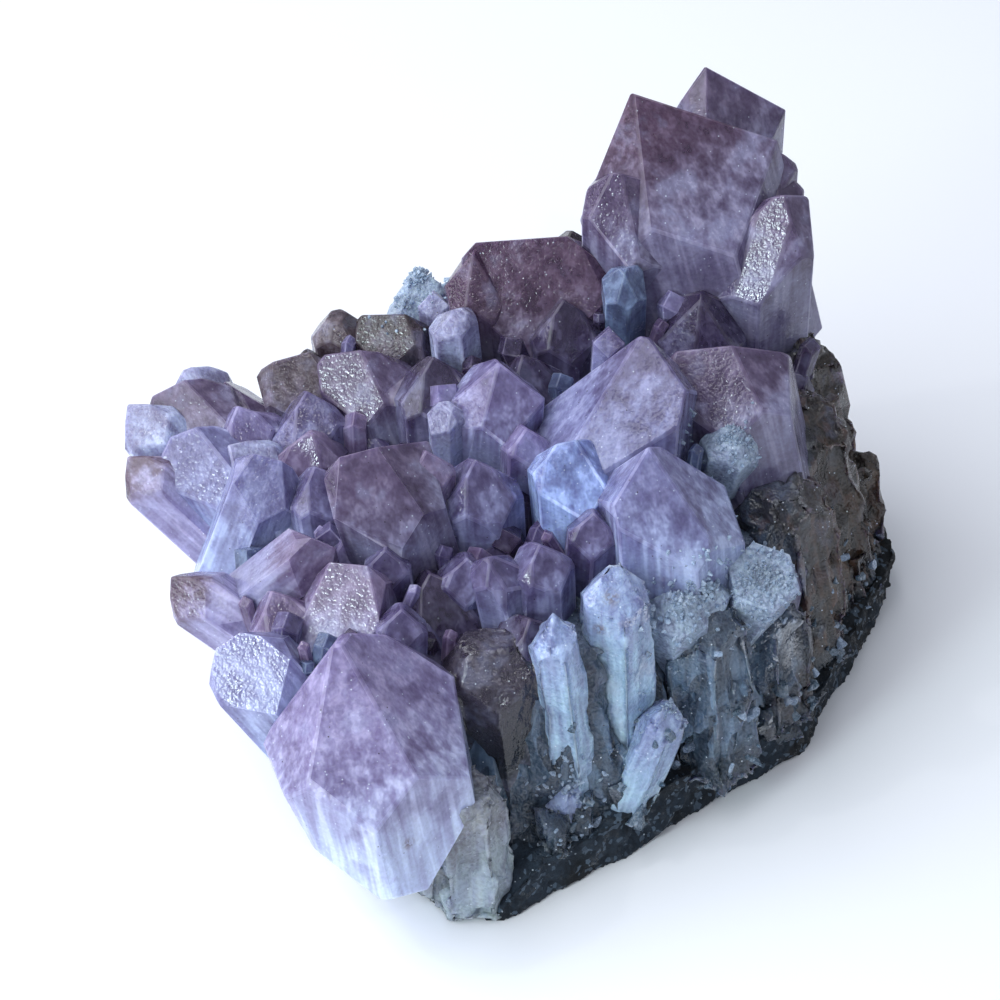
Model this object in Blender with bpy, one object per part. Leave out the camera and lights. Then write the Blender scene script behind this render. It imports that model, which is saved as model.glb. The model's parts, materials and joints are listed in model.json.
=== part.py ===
# Amethyst cluster: quartz points grown together from a pale quartz bed, on a rind of dark rock.
# Every crystal is a six-sided prism whose end is cut by six sloping faces, as quartz grows.
# Lengths are written in millimetres and scaled to metres. +Z is up and the flat cut base is at Z 0.
# The row's front is -Y: the broken wall with the pale columns faces front and right.

import math
import random
from collections import namedtuple

import bmesh
import bpy
from mathutils import Matrix, Vector, noise

MM = 0.001

# The sloping end faces of quartz stand at this angle to the crystal's long axis.
END_FACE_ANGLE = math.radians(38.2)
PRISM_SIDES = 6

# Where rock and quartz meet: mean height, waviness, and the gap that keeps the two solids apart.
ROCK_TOP = 10.5
ROCK_TOP_WAVE = 2.2
ROCK_TOP_WAVE_LENGTH = 26.0
SEAM_GAP = 0.3

# At the front corner there is no rind: the quartz reaches down to the base.
BARE_CORNER = (-9.0, -57.0)
BARE_CORNER_REACH = 14.0
BARE_CORNER_DEPTH = 18.0

# The rind's outline in plan, counterclockwise from the corner nearest the viewer.
ROCK_OUTLINE = [
    (-8, -54), (0, -55), (6, -50.5), (11, -47), (17, -43.5), (22, -39.5), (30.5, -32), (36, -28), (44.5, -22),
    (49, -18), (53.5, -8), (57, -2), (60, 5), (64.5, 15), (66.5, 22), (65, 32), (60, 41), (50, 48),
    (36, 53), (18, 54), (0, 50), (-16, 45), (-31, 38), (-42, 28), (-46, 16), (-42, 2), (-36, -13),
    (-31, -27), (-25, -38), (-17, -47),
]
ROCK_BLANK_TOP = 18.0
ROCK_FOOT_INSET = 1.2
ROCK_SIDE_ROUGHNESS = 1.1

# tip and foot are the two ends of the crystal's axis. across is the width over two flats. turn spins the
# crystal on its axis; at 0 an end face looks to the front. belly moves the shaft sideways from under the
# tip, to the right and to the front. trims push the six end faces out from the tip, starting with the
# front one and going round by the right: large numbers leave a ridge or a small face there. breaks are
# flat breaks, each a point and the direction that it faces.
Crystal = namedtuple(
    "Crystal", "name tip foot across turn belly trims breaks", defaults=(0, (0, 0), (0, 1, 0, 1, 0, 1), ())
)

TALL_BACK_GROUP = [
    Crystal(
        "long_ridge", (19, 39, 88.8), (32, 37, 40), 30, 25, (3.5, 0), (0, 14, 0, 2, 0, 0),
        (((19, 39, 88.8), (-0.925, 0.246, 0.293)),),
    ),
    Crystal(
        "back_top", (31.5, 50, 86.8), (32, 52, 40), 16, 30, (4, 0), (0, 6, 0, 2, 0, 0),
        (((31.2, 50, 86.8), (-0.81, 0.37, 0.44)),),
    ),
    Crystal("left_shoulder", (16, 29, 80.5), (17, 37, 44), 18, -14, (5, 0), (0, 1, 5, 0, 0, 0)),
    Crystal("bright_face", (42, 26.5, 78), (43.5, 35, 36), 18.5, 4, (-4, 0), (0, 0, 2, 0, 0, 0)),
    Crystal("dark_blade", (30, 18.5, 63.6), (30.5, 28, 36), 14, 22, (0, 0), (0, 0, 1, 1, 0, 0)),
    Crystal("grey_bud", (17.9, 19, 68), (18.4, 27, 48), 6.6, 8, (0, 0), (0, 0, 2, 1, 1, 0)),
    Crystal("right_bump_high", (41.5, 38, 79.5), (42, 41, 40), 8, 20),
    Crystal("right_bump_low", (43, 36, 75.5), (43, 38, 40), 8, 50),
    Crystal("rear_guard", (8, 44, 57), (10, 43, 30), 17, 10),
    Crystal("rear_spare", (24, 50, 72), (26, 47, 34), 15, 40),
    Crystal("rear_root", (33, 51, 62), (31, 40, 4), 22, 30),
    Crystal("rear_root_left", (13, 45, 53), (13, 36, 4), 19, 12),
    Crystal("rear_root_right", (40, 42, 54), (43, 37, 4), 17, 45),
]

BACK_MIDDLE_GROUP = [
    Crystal("broad_ridge", (-4, 29.5, 67), (1, 32, 31), 23, -4, (7.5, 0), (0, 10, 9, 0, 1, 2)),
    Crystal("ridge_cheek", (-6, 27.5, 66), (-3, 31, 32), 12, 12, (1, 0), (0, 0, 1, 1, 0, 0)),
    Crystal("brown_sliver", (10, 36.5, 64.5), (12, 37, 34), 13, 20, (2, 0)),
    Crystal("slate_point", (8.5, 21.5, 61.5), (9, 24, 34), 12, 18),
    Crystal("umber_point", (2, 13, 57), (3, 15, 32), 15, 40, (1, 0)),
    Crystal("pale_stub", (-9, 16, 63.5), (-8, 20.5, 44), 7.6, 15, (0, 0), (2, 2, 1, 0, 0, 1)),
    Crystal("frosted_nub", (-15, 35, 58), (-13, 34, 34), 8, 10),
    Crystal("frosted_nub_low", (-17, 30, 56), (-15, 30, 34), 8, 35),
    Crystal("pale_sliver", (-12.5, 28.5, 58), (-11, 29, 36), 5, 0),
    Crystal("tawny_ball", (-28, 28, 54), (-26, 27, 30), 9.5, 15, (0, 0), (2, 1, 1, 1, 1, 2)),
    Crystal("smoky_block", (-22.5, 25, 56), (-19, 24, 32), 11, -10, (3, 0), (0, 4, 4, 0, 1, 1)),
    Crystal("little_bump", (-33, 21, 52), (-31, 21, 34), 7, 0),
]

LEFT_FLANK = [
    Crystal("rust_point", (-36.5, 19, 51.5), (-32, 18, 28), 11.5, 12, (1, 0), (0, 3, 3, 0, 2, 1)),
    Crystal("lilac_slab", (-28, 16, 55), (-22, 15, 30), 14, -6, (4, 0), (0, 3, 4, 0, 1, 2)),
    Crystal("glinting_tip", (-53, 21.5, 47.5), (-45, 20, 26), 9, 8, (1.5, 0), (0, 1, 2, 0, 0, 1)),
    Crystal("plum_shoulder", (-46, 19, 47), (-41, 17, 26), 9, 0, (2, 0)),
    Crystal("rosy_block", (-56, 15, 48), (-44, 12, 24), 14, 10, (3, 0), (0, 3, 4, 0, 1, 1)),
    Crystal("frosty_cheek", (-61, 12.5, 47.5), (-45, 8, 27), 10.5, 30),
    Crystal("speckled_tip", (-43, 9, 50), (-39, 8, 28), 10, 28),
    Crystal("facet_bunch", (-32, 9.5, 52.5), (-30, 9, 30), 12, 18, (-1, 0)),
    Crystal("moss_speck", (-31, 3, 50), (-30, 5, 30), 11, -12, (-1, 0), (1, 1, 0, 0, 0, 2)),
    Crystal("lilac_dome", (-52, 4.5, 48), (-42, 2, 24), 15, 6, (3, 0), (0, 2, 3, 0, 1, 2)),
    Crystal("outer_tooth", (-60.3, 3, 44.5), (-37, -3, 20), 9.5, 22),
    Crystal("violet_band", (-35, -5.5, 50.5), (-44, -7, 26), 11, 0, (-1, 0), (0, 0, 1, 0, 3, 3)),
    Crystal("dusk_wedge", (-30, -6, 50), (-28, -8, 28), 10.5, 32),
    Crystal("striped_finger", (-26, -23, 48), (-42, -17, 28), 10, 10, (-1, 0), (0, 0, 0, 0, 3, 3)),
    Crystal("low_tooth", (-51.5, -21, 40.5), (-30, -23, 21), 9.5, 12),
    Crystal("grey_facets", (-35.5, -28, 44), (-31, -29, 24), 10, 28),
    Crystal("mauve_block", (-24, -26, 47.5), (-22, -29, 20), 17, -14, (-3, 0), (0, 2, 2, 0, 2, 2)),
    Crystal("front_left_tooth", (-43, -38.5, 42), (-27, -40, 17), 13, 14, (2.5, 0), (0, 4, 3, 0, 0, 1)),
    Crystal(
        "great_front", (-25.5, -45, 48.5), (-19, -49, 6), 29, 6, (1.5, 0), (0, 1, 5, 2, 0, 0),
        (((-32.8, -55.7, 30), (-0.89, -0.29, -0.34)), ((-26.2, -57.6, 18), (-0.62, -0.5, -0.6)),
         ((-22, -57.5, 12), (-0.4, -0.59, -0.7)), ((-17, -56, 9.5), (0.17, -0.63, -0.75)), ((-7, -53.5, 20), (0.87, -0.32, -0.38))),
    ),
]

CENTRE_GROUP = [
    Crystal("dark_giant", (-24, -14.5, 59), (-18, -11.5, 30), 16.5, 8, (3.5, 0), (0, 3, 9, 0, 1, 1)),
    Crystal("giant_cheek", (-12.6, -11, 57), (-13, -9, 34), 8, 24, (0, 0)),
    Crystal("night_point", (-12, 10.5, 58.5), (-11, 11, 32), 13, 22),
    Crystal("clear_chip", (-10, 1.5, 55.5), (-9.5, 3, 42), 5.5, 10, (0, 0), (1, 1, 1, 1, 1, 0)),
    Crystal("lilac_point", (-1.7, 4.3, 62), (-3.5, 8.5, 32), 14, 12, (0, 0), (0, 5, 0, 1, 0, 0)),
    Crystal("lilac_foot", (2.5, -3, 55), (2, 0, 36), 7, 20),
    Crystal("great_pyramid", (19.7, 3.2, 68), (18.5, -0.5, 30), 23.5, -18, (-3, 0), (0, 9, 1, 0, 0, 0)),
    Crystal("tiny_violet", (15.5, 12.5, 62.5), (15, 13, 46), 5, 0),
    Crystal("icy_face", (7, -10, 57.5), (9, -8.5, 30), 12.5, 14, (2, 0), (0, 2, 3, 0, 0, 1)),
    Crystal("dusky_point", (-5.3, -10, 54.5), (-4, -9, 30), 12.5, 26),
    Crystal("twin_bud", (-2.5, -27, 50), (-0.5, -25, 36), 8, 8, (0, 0), (1, 0, 0, 0, 1, 1)),
    Crystal("twin_bud_mate", (4.4, -25.5, 51), (5, -24, 34), 9, 30),
    Crystal("violet_chip", (12.5, -19.5, 52), (12, -18, 36), 8, 0),
    Crystal("milky_giant", (20.5, -15, 61), (23.5, -15, 24), 20, 18, (2.5, 0), (0, 0, 1, 0, 0, 6)),
    Crystal("split_purple", (27, 7.5, 62), (35, 6, 28), 18, -8, (6, 0), (0, 5, 8, 0, 1, 1)),
    Crystal("frosted_pebble", (34.5, -3.5, 54), (33, 1, 42), 8.5, 15, (0, 0), (2, 1, 1, 1, 1, 2)),
    Crystal("deep_violet_gap", (-12, -24, 44), (-10, -22, 26), 16, 20),
    Crystal("shadow_point", (3, -33, 43), (2, -30, 24), 10, 40),
]

BROKEN_WALL = [
    Crystal("pale_column", (6, -36.5, 46), (10.5, -38, 5), 7.4, 20, (0, 0), (0, 2, 1, 1, 0, 0)),
    Crystal("column_stump", (7.5, -38.5, 17), (9, -38, 2), 9.5, 10, (0, 0), (3, 2, 3, 1, 2, 1)),
    Crystal("lilac_column", (15, -28.5, 50), (17, -30.5, 5), 10.5, 10, (0.5, 0), (0, 1, 1, 0, 0, 1)),
    Crystal("white_nugget", (25.5, -27, 42), (25, -22, 26), 9, 0, (0, 0), (1, 1, 2, 0, 1, 1)),
    Crystal("white_nugget_mate", (29.5, -25, 42.5), (28, -18, 28), 8, 20),
    Crystal("leaning_wedge", (24.7, -33, 26.5), (16, -38, 3), 7.5, 16),
    Crystal("wall_shoulder", (29, -22, 37), (32, -27, 3), 15, 12, (0, 0), (3, 4, 2, 0, 1, 2)),
    Crystal("wall_flake", (33, -26, 25), (33, -28, 2), 9, 34, (0, 0), (2, 3, 2, 1, 1, 1)),
    Crystal("drusy_stub", (38.5, -21, 40.5), (35, -12, 22), 10.2, 18, (0, 0), (9, 9, 9, 9, 9, 9)),
    Crystal("stub_socket", (40, -13, 30), (42, -16, 3), 14, 8, (0, 0), (4, 4, 2, 1, 2, 3)),
    Crystal("wall_rib", (44, -10, 22), (46.5, -12, 2), 8, 30, (0, 0), (2, 2, 1, 1, 1, 1)),
    Crystal("wall_block", (41, -1, 44), (47.5, 0, 3), 18, 16, (0, 0), (5, 4, 3, 2, 2, 4)),
    Crystal("right_block", (43.5, 14, 47), (55, 17, 3), 18, 4, (0, 0), (5, 3, 4, 3, 2, 4)),
    Crystal("right_corner", (43.5, 27, 49.5), (55.5, 31, 3), 16, 24, (0, 0), (4, 3, 4, 3, 2, 4)),
    Crystal("right_heel", (56, 24, 27), (60, 24.5, 2), 11, 12, (0, 0), (3, 3, 3, 2, 2, 2)),
    Crystal("cavity_face", (-2, -34, 40), (1, -35, 3), 15, 6, (-1, 0), (2, 3, 2, 2, 4, 4)),
    Crystal("corner_block", (-6.5, -50, 26), (-5.3, -50, -3), 12, 30, (0, 0), (4, 3, 3, 2, 3, 4)),
    Crystal(
        "corner_toe", (-10, -48, 16), (-11, -48, -3), 12, 50, (0, 0), (2, 2, 3, 1, 2, 2),
        (((-12.1, -55.4, 4), (-0.52, -0.55, -0.66)),),
    ),
]

# Small shafts that close the hollows where larger ones lean together.
HIDDEN_KNOTS = [
    Crystal("knot_left", (-34.5, -22.5, 37), (-34.5, -22.5, 26), 7),
    Crystal("knot_outer", (-37, -5.5, 34.5), (-37, -5.5, 28), 5),
    Crystal("knot_back", (19.3, 33.6, 46), (19.3, 33.6, 38), 5),
    Crystal("knot_middle", (16.7, 36.5, 37), (16.7, 36.5, 28), 6),
]

# The bed under the points is a palisade of wide shafts, broken off low.
BED_SHAFTS = [
    (-33, -15), (-36, 4), (-38, 18), (-21, -29), (-18, -9), (-20, 13), (-13, 29), (0, -19), (3, 2),
    (4, 22), (20, -16), (24, 6), (24, 26), (37, -3), (39, 18), (9, 38), (30, 41), (-4, 42),
]
BED_TOP = 36.0
BED_ACROSS = 25.0
BED_HUDDLE = (8.0, 2.0)
BED_FAN = 0.24
BED_FOOT = 2.0

# Solid quartz behind and between the shafts: the rind's outline drawn in, narrower towards its top.
HEART_TOP = 33.0
HEART_FOOT = 2.0
HEART_FOOT_SCALE = 0.86
HEART_TOP_SCALE = 0.72
HEART_TOP_SHIFT = (-4.0, 1.0)

# Small points fill the gaps on top of the bed, and grow round the back and the left.
FILLER_PITCH = 8.5
FILLER_TIP = 44.5
FILLER_FOOT = 28.0
FILLER_ACROSS = (6.5, 10.5)
FILLER_LEAN = 0.22
FILLER_REACH = (44.0, 40.0)
WALL_CLEARANCE = 24.0
FILLER_GAPS = {(0, 3), (1, 1), (1, 2), (2, 1), (5, 3)}
BACK_ROW_ANGLES = range(62, 212, 15)
BACK_ROW_RADII = (49.0, 40.0)
BACK_ROW_TIP = 44.0

# Low shafts stand side by side along the rind's edge at the back and the left.
SKIRT_EDGE = ROCK_OUTLINE[17:29]
SKIRT_FOOT_SCALE = 0.85
SKIRT_TIP_SCALE = 0.98
SKIRT_TIP = 31.0
SKIRT_ACROSS = (11.0, 14.5)

FINISHES = {
    "amethyst_crystals": ((0.30, 0.22, 0.46, 1.0), 0.12),
    "matrix_rock": ((0.055, 0.062, 0.068, 1.0), 0.85),
}


def clear_scene():
    for obj in list(bpy.data.objects):
        bpy.data.objects.remove(obj)


def collection_named(name):
    made = bpy.data.collections.new(name)
    bpy.context.scene.collection.children.link(made)
    return made


def finish_material(name):
    colour, roughness = FINISHES[name]
    material = bpy.data.materials.new(name)
    material.use_nodes = True
    shader = material.node_tree.nodes["Principled BSDF"]
    shader.inputs["Base Color"].default_value = colour
    shader.inputs["Roughness"].default_value = roughness
    shader.inputs["Metallic"].default_value = 0.0
    return material


def object_from(bm, name, collection):
    bmesh.ops.recalc_face_normals(bm, faces=bm.faces)
    mesh = bpy.data.meshes.new(name)
    bm.to_mesh(mesh)
    bm.free()
    obj = bpy.data.objects.new(name, mesh)
    collection.objects.link(obj)
    return obj


def make_helper(obj):
    obj.hide_render = True
    obj.display_type = "WIRE"


def cut_by_plane(bm, point, normal):
    """Takes off what lies beyond the plane, and closes the cut with one flat face."""
    everything = bm.verts[:] + bm.edges[:] + bm.faces[:]
    bmesh.ops.bisect_plane(bm, geom=everything, plane_co=point, plane_no=normal, clear_outer=True, dist=1e-6)
    rim = [edge for edge in bm.edges if edge.is_boundary]
    if rim:
        bmesh.ops.holes_fill(bm, edges=rim)


def crystal_frame(tip, foot):
    """The crystal's own axes: Z from foot to tip, X level and to the right, -Y towards the front."""
    along = (tip - foot).normalized()
    right = Vector((0, 1, 0)).cross(along).normalized()
    back = along.cross(right)
    return Matrix((right, back, along)).transposed().to_4x4()


def add_crystal(crystal, collection):
    """One quartz point: a six-sided prism under its tip, cut by the six sloping end faces."""
    tip = Vector(crystal.tip) * MM
    foot = Vector(crystal.foot) * MM
    length = (tip - foot).length
    flat_radius = crystal.across / 2 * MM
    corner_radius = flat_radius / math.cos(math.pi / PRISM_SIDES)
    belly = Vector((crystal.belly[0], -crystal.belly[1], 0)) * MM
    turn = math.radians(crystal.turn)

    bm = bmesh.new()
    bmesh.ops.create_cone(
        bm, cap_ends=True, segments=PRISM_SIDES, radius1=corner_radius, radius2=corner_radius, depth=length
    )
    bmesh.ops.translate(bm, verts=bm.verts, vec=(0, 0, -length / 2))
    first_face = -math.pi / 2 + turn
    bmesh.ops.rotate(bm, verts=bm.verts, matrix=Matrix.Rotation(first_face + math.pi / PRISM_SIDES, 3, "Z"))
    bmesh.ops.translate(bm, verts=bm.verts, vec=belly)
    for side in range(PRISM_SIDES):
        angle = first_face + side * math.tau / PRISM_SIDES
        level = math.cos(END_FACE_ANGLE)
        normal = Vector((math.cos(angle) * level, math.sin(angle) * level, math.sin(END_FACE_ANGLE)))
        cut_by_plane(bm, normal * crystal.trims[side] * MM, normal)
    bmesh.ops.transform(bm, verts=bm.verts, matrix=Matrix.Translation(tip) @ crystal_frame(tip, foot))
    for point, facing in crystal.breaks:
        cut_by_plane(bm, Vector(point) * MM, Vector(facing))
    return object_from(bm, crystal.name, collection)


def bed_shafts():
    """Wide shafts side by side, leaning out a little, whose blunt ends carry the points."""
    draw = random.Random(11)
    for number, (x, y) in enumerate(BED_SHAFTS):
        top = BED_TOP + draw.uniform(-2.0, 2.5)
        foot = (x - (x - BED_HUDDLE[0]) * BED_FAN, y - (y - BED_HUDDLE[1]) * BED_FAN, BED_FOOT)
        trims = tuple(draw.uniform(4.0, 7.0) for _ in range(PRISM_SIDES))
        across = BED_ACROSS + draw.uniform(-2.0, 2.0)
        yield Crystal(f"bed_shaft_{number}", (x, y, top), foot, across, draw.uniform(0, 60), (0, 0), trims)


def add_heart(name, collection):
    """The solid quartz at the middle of the bed."""
    bm = bmesh.new()
    rings = []
    for scale, shift, level in (
        (HEART_FOOT_SCALE, (0, 0), HEART_FOOT),
        (HEART_TOP_SCALE, HEART_TOP_SHIFT, HEART_TOP),
    ):
        spots = [(x * scale + shift[0], y * scale + shift[1], level) for x, y in ROCK_OUTLINE]
        rings.append([bm.verts.new(Vector(spot) * MM) for spot in spots])
    lower, upper = rings
    for i in range(len(lower)):
        j = (i + 1) % len(lower)
        bm.faces.new((lower[i], lower[j], upper[j], upper[i]))
    bm.faces.new(list(reversed(lower)))
    bm.faces.new(upper)
    return object_from(bm, name, collection)


def filler_points():
    """Small points over the top of the bed, one to each cell of a shaken grid."""
    draw = random.Random(23)
    reach_x, reach_y = FILLER_REACH
    columns = int(reach_x // FILLER_PITCH)
    rows = int(reach_y // FILLER_PITCH)
    for column in range(-columns, columns + 1):
        for row in range(-rows, rows + 1):
            x = column * FILLER_PITCH + draw.uniform(-2.5, 2.5)
            y = row * FILLER_PITCH + draw.uniform(-2.5, 2.5)
            tip = FILLER_TIP + draw.uniform(-3.0, 4.0)
            across = draw.uniform(*FILLER_ACROSS)
            turn = draw.uniform(0, 60)
            lean_x = FILLER_LEAN * (x / reach_x + draw.uniform(-0.7, 0.7)) * (tip - FILLER_FOOT)
            lean_y = FILLER_LEAN * (y / reach_y + draw.uniform(-0.7, 0.7)) * (tip - FILLER_FOOT)
            cell = (column + columns, row + rows)
            off_the_top = (x / reach_x) ** 2 + (y / reach_y) ** 2 > 1 or 0.9 * x - y > WALL_CLEARANCE
            if off_the_top or cell in FILLER_GAPS:
                continue
            name = f"filler_{cell[0]}_{cell[1]}"
            yield Crystal(name, (x, y, tip), (x - lean_x, y - lean_y, FILLER_FOOT), across, turn)


def back_row_points():
    """Points that lean out over the rim at the back and the left, where the photograph doesn't reach."""
    draw = random.Random(5)
    for number, degrees in enumerate(BACK_ROW_ANGLES):
        for tier in range(2):
            angle = math.radians(degrees + draw.uniform(-5, 5) + tier * 7)
            out = 1.0 - 0.1 * tier + draw.uniform(-0.04, 0.04)
            x = BACK_ROW_RADII[0] * out * math.cos(angle)
            y = BACK_ROW_RADII[1] * out * math.sin(angle) + 7
            tip = BACK_ROW_TIP - 13 * (1 - tier) + draw.uniform(-3, 4)
            foot = (x * 0.66, y * 0.66, tip - 17 - 4 * tier)
            across = draw.uniform(9.0, 13.0)
            yield Crystal(f"back_row_{number}_{tier}", (x, y, tip), foot, across, draw.uniform(0, 60))


def skirt_points():
    """Low leaning shafts, one at each corner of the rind's hidden edge and one between each two."""
    draw = random.Random(8)
    for number, (here, after) in enumerate(zip(SKIRT_EDGE, SKIRT_EDGE[1:])):
        for share in (0.0, 0.5):
            x = here[0] + (after[0] - here[0]) * share
            y = here[1] + (after[1] - here[1]) * share
            tip = (x * SKIRT_TIP_SCALE, y * SKIRT_TIP_SCALE, SKIRT_TIP + draw.uniform(-5, 5))
            foot = (x * SKIRT_FOOT_SCALE, y * SKIRT_FOOT_SCALE, BED_FOOT)
            across = draw.uniform(*SKIRT_ACROSS)
            yield Crystal(f"skirt_{number}_{round(2 * share)}", tip, foot, across, draw.uniform(0, 60))


def rock_top_height(x, y):
    """Height of the seam between rock and quartz at a place in plan, all in millimetres."""
    place = Vector((x, y, 0)) / ROCK_TOP_WAVE_LENGTH
    nearness = 1 - min(math.dist((x, y), BARE_CORNER) / BARE_CORNER_REACH, 1)
    dip = BARE_CORNER_DEPTH * (3 * nearness**2 - 2 * nearness**3)
    return ROCK_TOP + ROCK_TOP_WAVE * noise.noise(place) - dip


def add_seam_cutter(name, above, collection):
    """A block that fills everything above or below the seam, kept half the gap clear of it."""
    half, cells = 90.0, 36
    far_level = 60.0 if above else -40.0
    shift = SEAM_GAP / 2 * (-1 if above else 1)
    bm = bmesh.new()
    bmesh.ops.create_grid(bm, x_segments=cells, y_segments=cells, size=half * MM)
    sheet = bm.verts[:]
    for vert in sheet:
        height = rock_top_height(vert.co.x / MM, vert.co.y / MM) + shift
        vert.co.z = (height if above else max(height, 0.0)) * MM
    grown = bmesh.ops.extrude_face_region(bm, geom=bm.faces[:])
    for vert in (item for item in grown["geom"] if isinstance(item, bmesh.types.BMVert)):
        vert.co.z = far_level * MM
    cutter = object_from(bm, name, collection)
    make_helper(cutter)
    return cutter


def smooth_outline(points, steps):
    """A closed Catmull-Rom curve through the points, with this many steps between two of them."""
    count = len(points)
    ring = []
    for index in range(count):
        a, b, c, d = (Vector(points[(index + k - 1) % count]) for k in range(4))
        for step in range(steps):
            t = step / steps
            ring.append(
                0.5 * (2 * b + (c - a) * t + (2 * a - 5 * b + 4 * c - d) * t**2 + (3 * b - a - 3 * c + d) * t**3)
            )
    return ring


def add_rock(collection):
    """The rind: a rough-sided slab on the outline, flat below, before its top is cut to the seam."""
    ring = smooth_outline(ROCK_OUTLINE, 3)
    levels = [0.0, 2.2, 5.0, 8.0, 11.0, 14.0, ROCK_BLANK_TOP]
    bm = bmesh.new()
    loops = []
    for level in levels:
        loop = []
        for place in ring:
            outward = place.normalized()
            bite = noise.noise(Vector((place.x, place.y, level * 2.5)) / 7.0) * ROCK_SIDE_ROUGHNESS
            inset = ROCK_FOOT_INSET if level == 0.0 else 0.0
            spot = place + outward * (bite - inset)
            loop.append(bm.verts.new((spot.x * MM, spot.y * MM, level * MM)))
        loops.append(loop)
    count = len(ring)
    for lower, upper in zip(loops, loops[1:]):
        for i in range(count):
            j = (i + 1) % count
            bm.faces.new((lower[i], lower[j], upper[j], upper[i]))
    bm.faces.new(list(reversed(loops[0])))
    bm.faces.new(loops[-1])
    return object_from(bm, "matrix_rock", collection)


def boolean(obj, name, operation, other=None, group=None):
    modifier = obj.modifiers.new(name, "BOOLEAN")
    modifier.operation = operation
    modifier.solver = "EXACT"
    if group is None:
        modifier.object = other
    else:
        modifier.operand_type = "COLLECTION"
        modifier.collection = group
    return modifier


def main():
    clear_scene()
    cluster = collection_named("amethyst_cluster")
    cutters = collection_named("cutters")
    grown_on = collection_named("grown_on")

    rock = add_rock(cluster)
    rock.data.materials.append(finish_material("matrix_rock"))
    boolean(rock, "top_at_seam", "DIFFERENCE", other=add_seam_cutter("above_seam", True, cutters))

    crystals = add_heart("amethyst_crystals", cluster)
    crystals.data.materials.append(finish_material("amethyst_crystals"))
    points = TALL_BACK_GROUP + BACK_MIDDLE_GROUP + LEFT_FLANK + CENTRE_GROUP + BROKEN_WALL
    points += HIDDEN_KNOTS + list(bed_shafts()) + list(filler_points()) + list(back_row_points())
    points += list(skirt_points())
    for crystal in points:
        make_helper(add_crystal(crystal, grown_on))
    boolean(crystals, "grow_together", "UNION", group=grown_on)
    boolean(crystals, "foot_at_seam", "DIFFERENCE", other=add_seam_cutter("below_seam", False, cutters))


main()
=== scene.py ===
# Looks of the amethyst cluster: every quartz point with its own colour zones and chips, a broken
# wall of smoky columns, frosted druse, rubble along the seam, and the rind of dark granular rock below.
# Lengths are written in millimetres and scaled to metres. The points stand where the frame's solid has them.

import json
import math
import random
from collections import namedtuple

import bmesh
import bpy
from mathutils import Matrix, Vector, noise
from mathutils.bvhtree import BVHTree

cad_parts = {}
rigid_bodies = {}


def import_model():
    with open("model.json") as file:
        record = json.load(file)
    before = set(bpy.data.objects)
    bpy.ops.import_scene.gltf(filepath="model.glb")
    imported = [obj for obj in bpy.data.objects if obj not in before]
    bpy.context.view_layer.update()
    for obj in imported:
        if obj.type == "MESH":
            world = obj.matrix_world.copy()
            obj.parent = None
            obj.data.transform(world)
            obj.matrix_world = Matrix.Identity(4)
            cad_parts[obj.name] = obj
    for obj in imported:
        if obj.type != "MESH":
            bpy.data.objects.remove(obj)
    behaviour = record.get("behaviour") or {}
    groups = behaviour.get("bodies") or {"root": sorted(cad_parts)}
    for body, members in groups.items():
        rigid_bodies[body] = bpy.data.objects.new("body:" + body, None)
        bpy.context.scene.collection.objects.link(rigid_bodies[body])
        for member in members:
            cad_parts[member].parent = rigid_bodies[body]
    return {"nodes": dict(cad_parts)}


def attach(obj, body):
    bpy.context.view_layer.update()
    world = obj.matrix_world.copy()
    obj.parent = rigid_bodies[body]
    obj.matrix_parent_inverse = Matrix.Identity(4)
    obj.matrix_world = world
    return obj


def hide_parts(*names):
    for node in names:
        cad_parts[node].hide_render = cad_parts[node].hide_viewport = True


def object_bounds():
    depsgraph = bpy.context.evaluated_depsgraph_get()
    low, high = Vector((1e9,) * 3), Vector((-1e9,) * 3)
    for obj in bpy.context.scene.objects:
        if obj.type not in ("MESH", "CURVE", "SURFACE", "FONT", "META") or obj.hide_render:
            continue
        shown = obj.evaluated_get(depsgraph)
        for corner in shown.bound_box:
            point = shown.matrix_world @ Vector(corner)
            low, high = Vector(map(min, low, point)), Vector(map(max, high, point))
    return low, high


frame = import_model()
CAD_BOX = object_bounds()

MM = 0.001

# The sloping end faces of quartz stand at this angle to the crystal's long axis.
END_FACE_ANGLE = math.radians(38.2)
PRISM_SIDES = 6

# The camera looks along +Y and down. The picture is 1000 x 1000 pixels, and the target shows at this one.
PICTURE_WIDTH = 1000
TARGET_PIXEL_X = 510
TARGET = Vector((0, 0, 38)) * MM
CAMERA_DISTANCE = 430 * MM
CAMERA_HEIGHT_ANGLE = math.radians(40)
LENS_MM = 98
SENSOR_MM = 36

# tip and foot are the two ends of the crystal's axis. across is the width over two flats. turn spins the
# crystal on its axis; at 0 an end face looks to the front. belly moves the shaft sideways from under the
# tip, to the right and to the front. trims push the six end faces out from the tip, starting with the
# front one and going round by the right: large numbers leave a ridge or a small face there. breaks are
# flat breaks, each a point and the direction that it faces.
Crystal = namedtuple(
    "Crystal", "name tip foot across turn belly trims breaks", defaults=(0, (0, 0), (0, 1, 0, 1, 0, 1), ())
)

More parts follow.
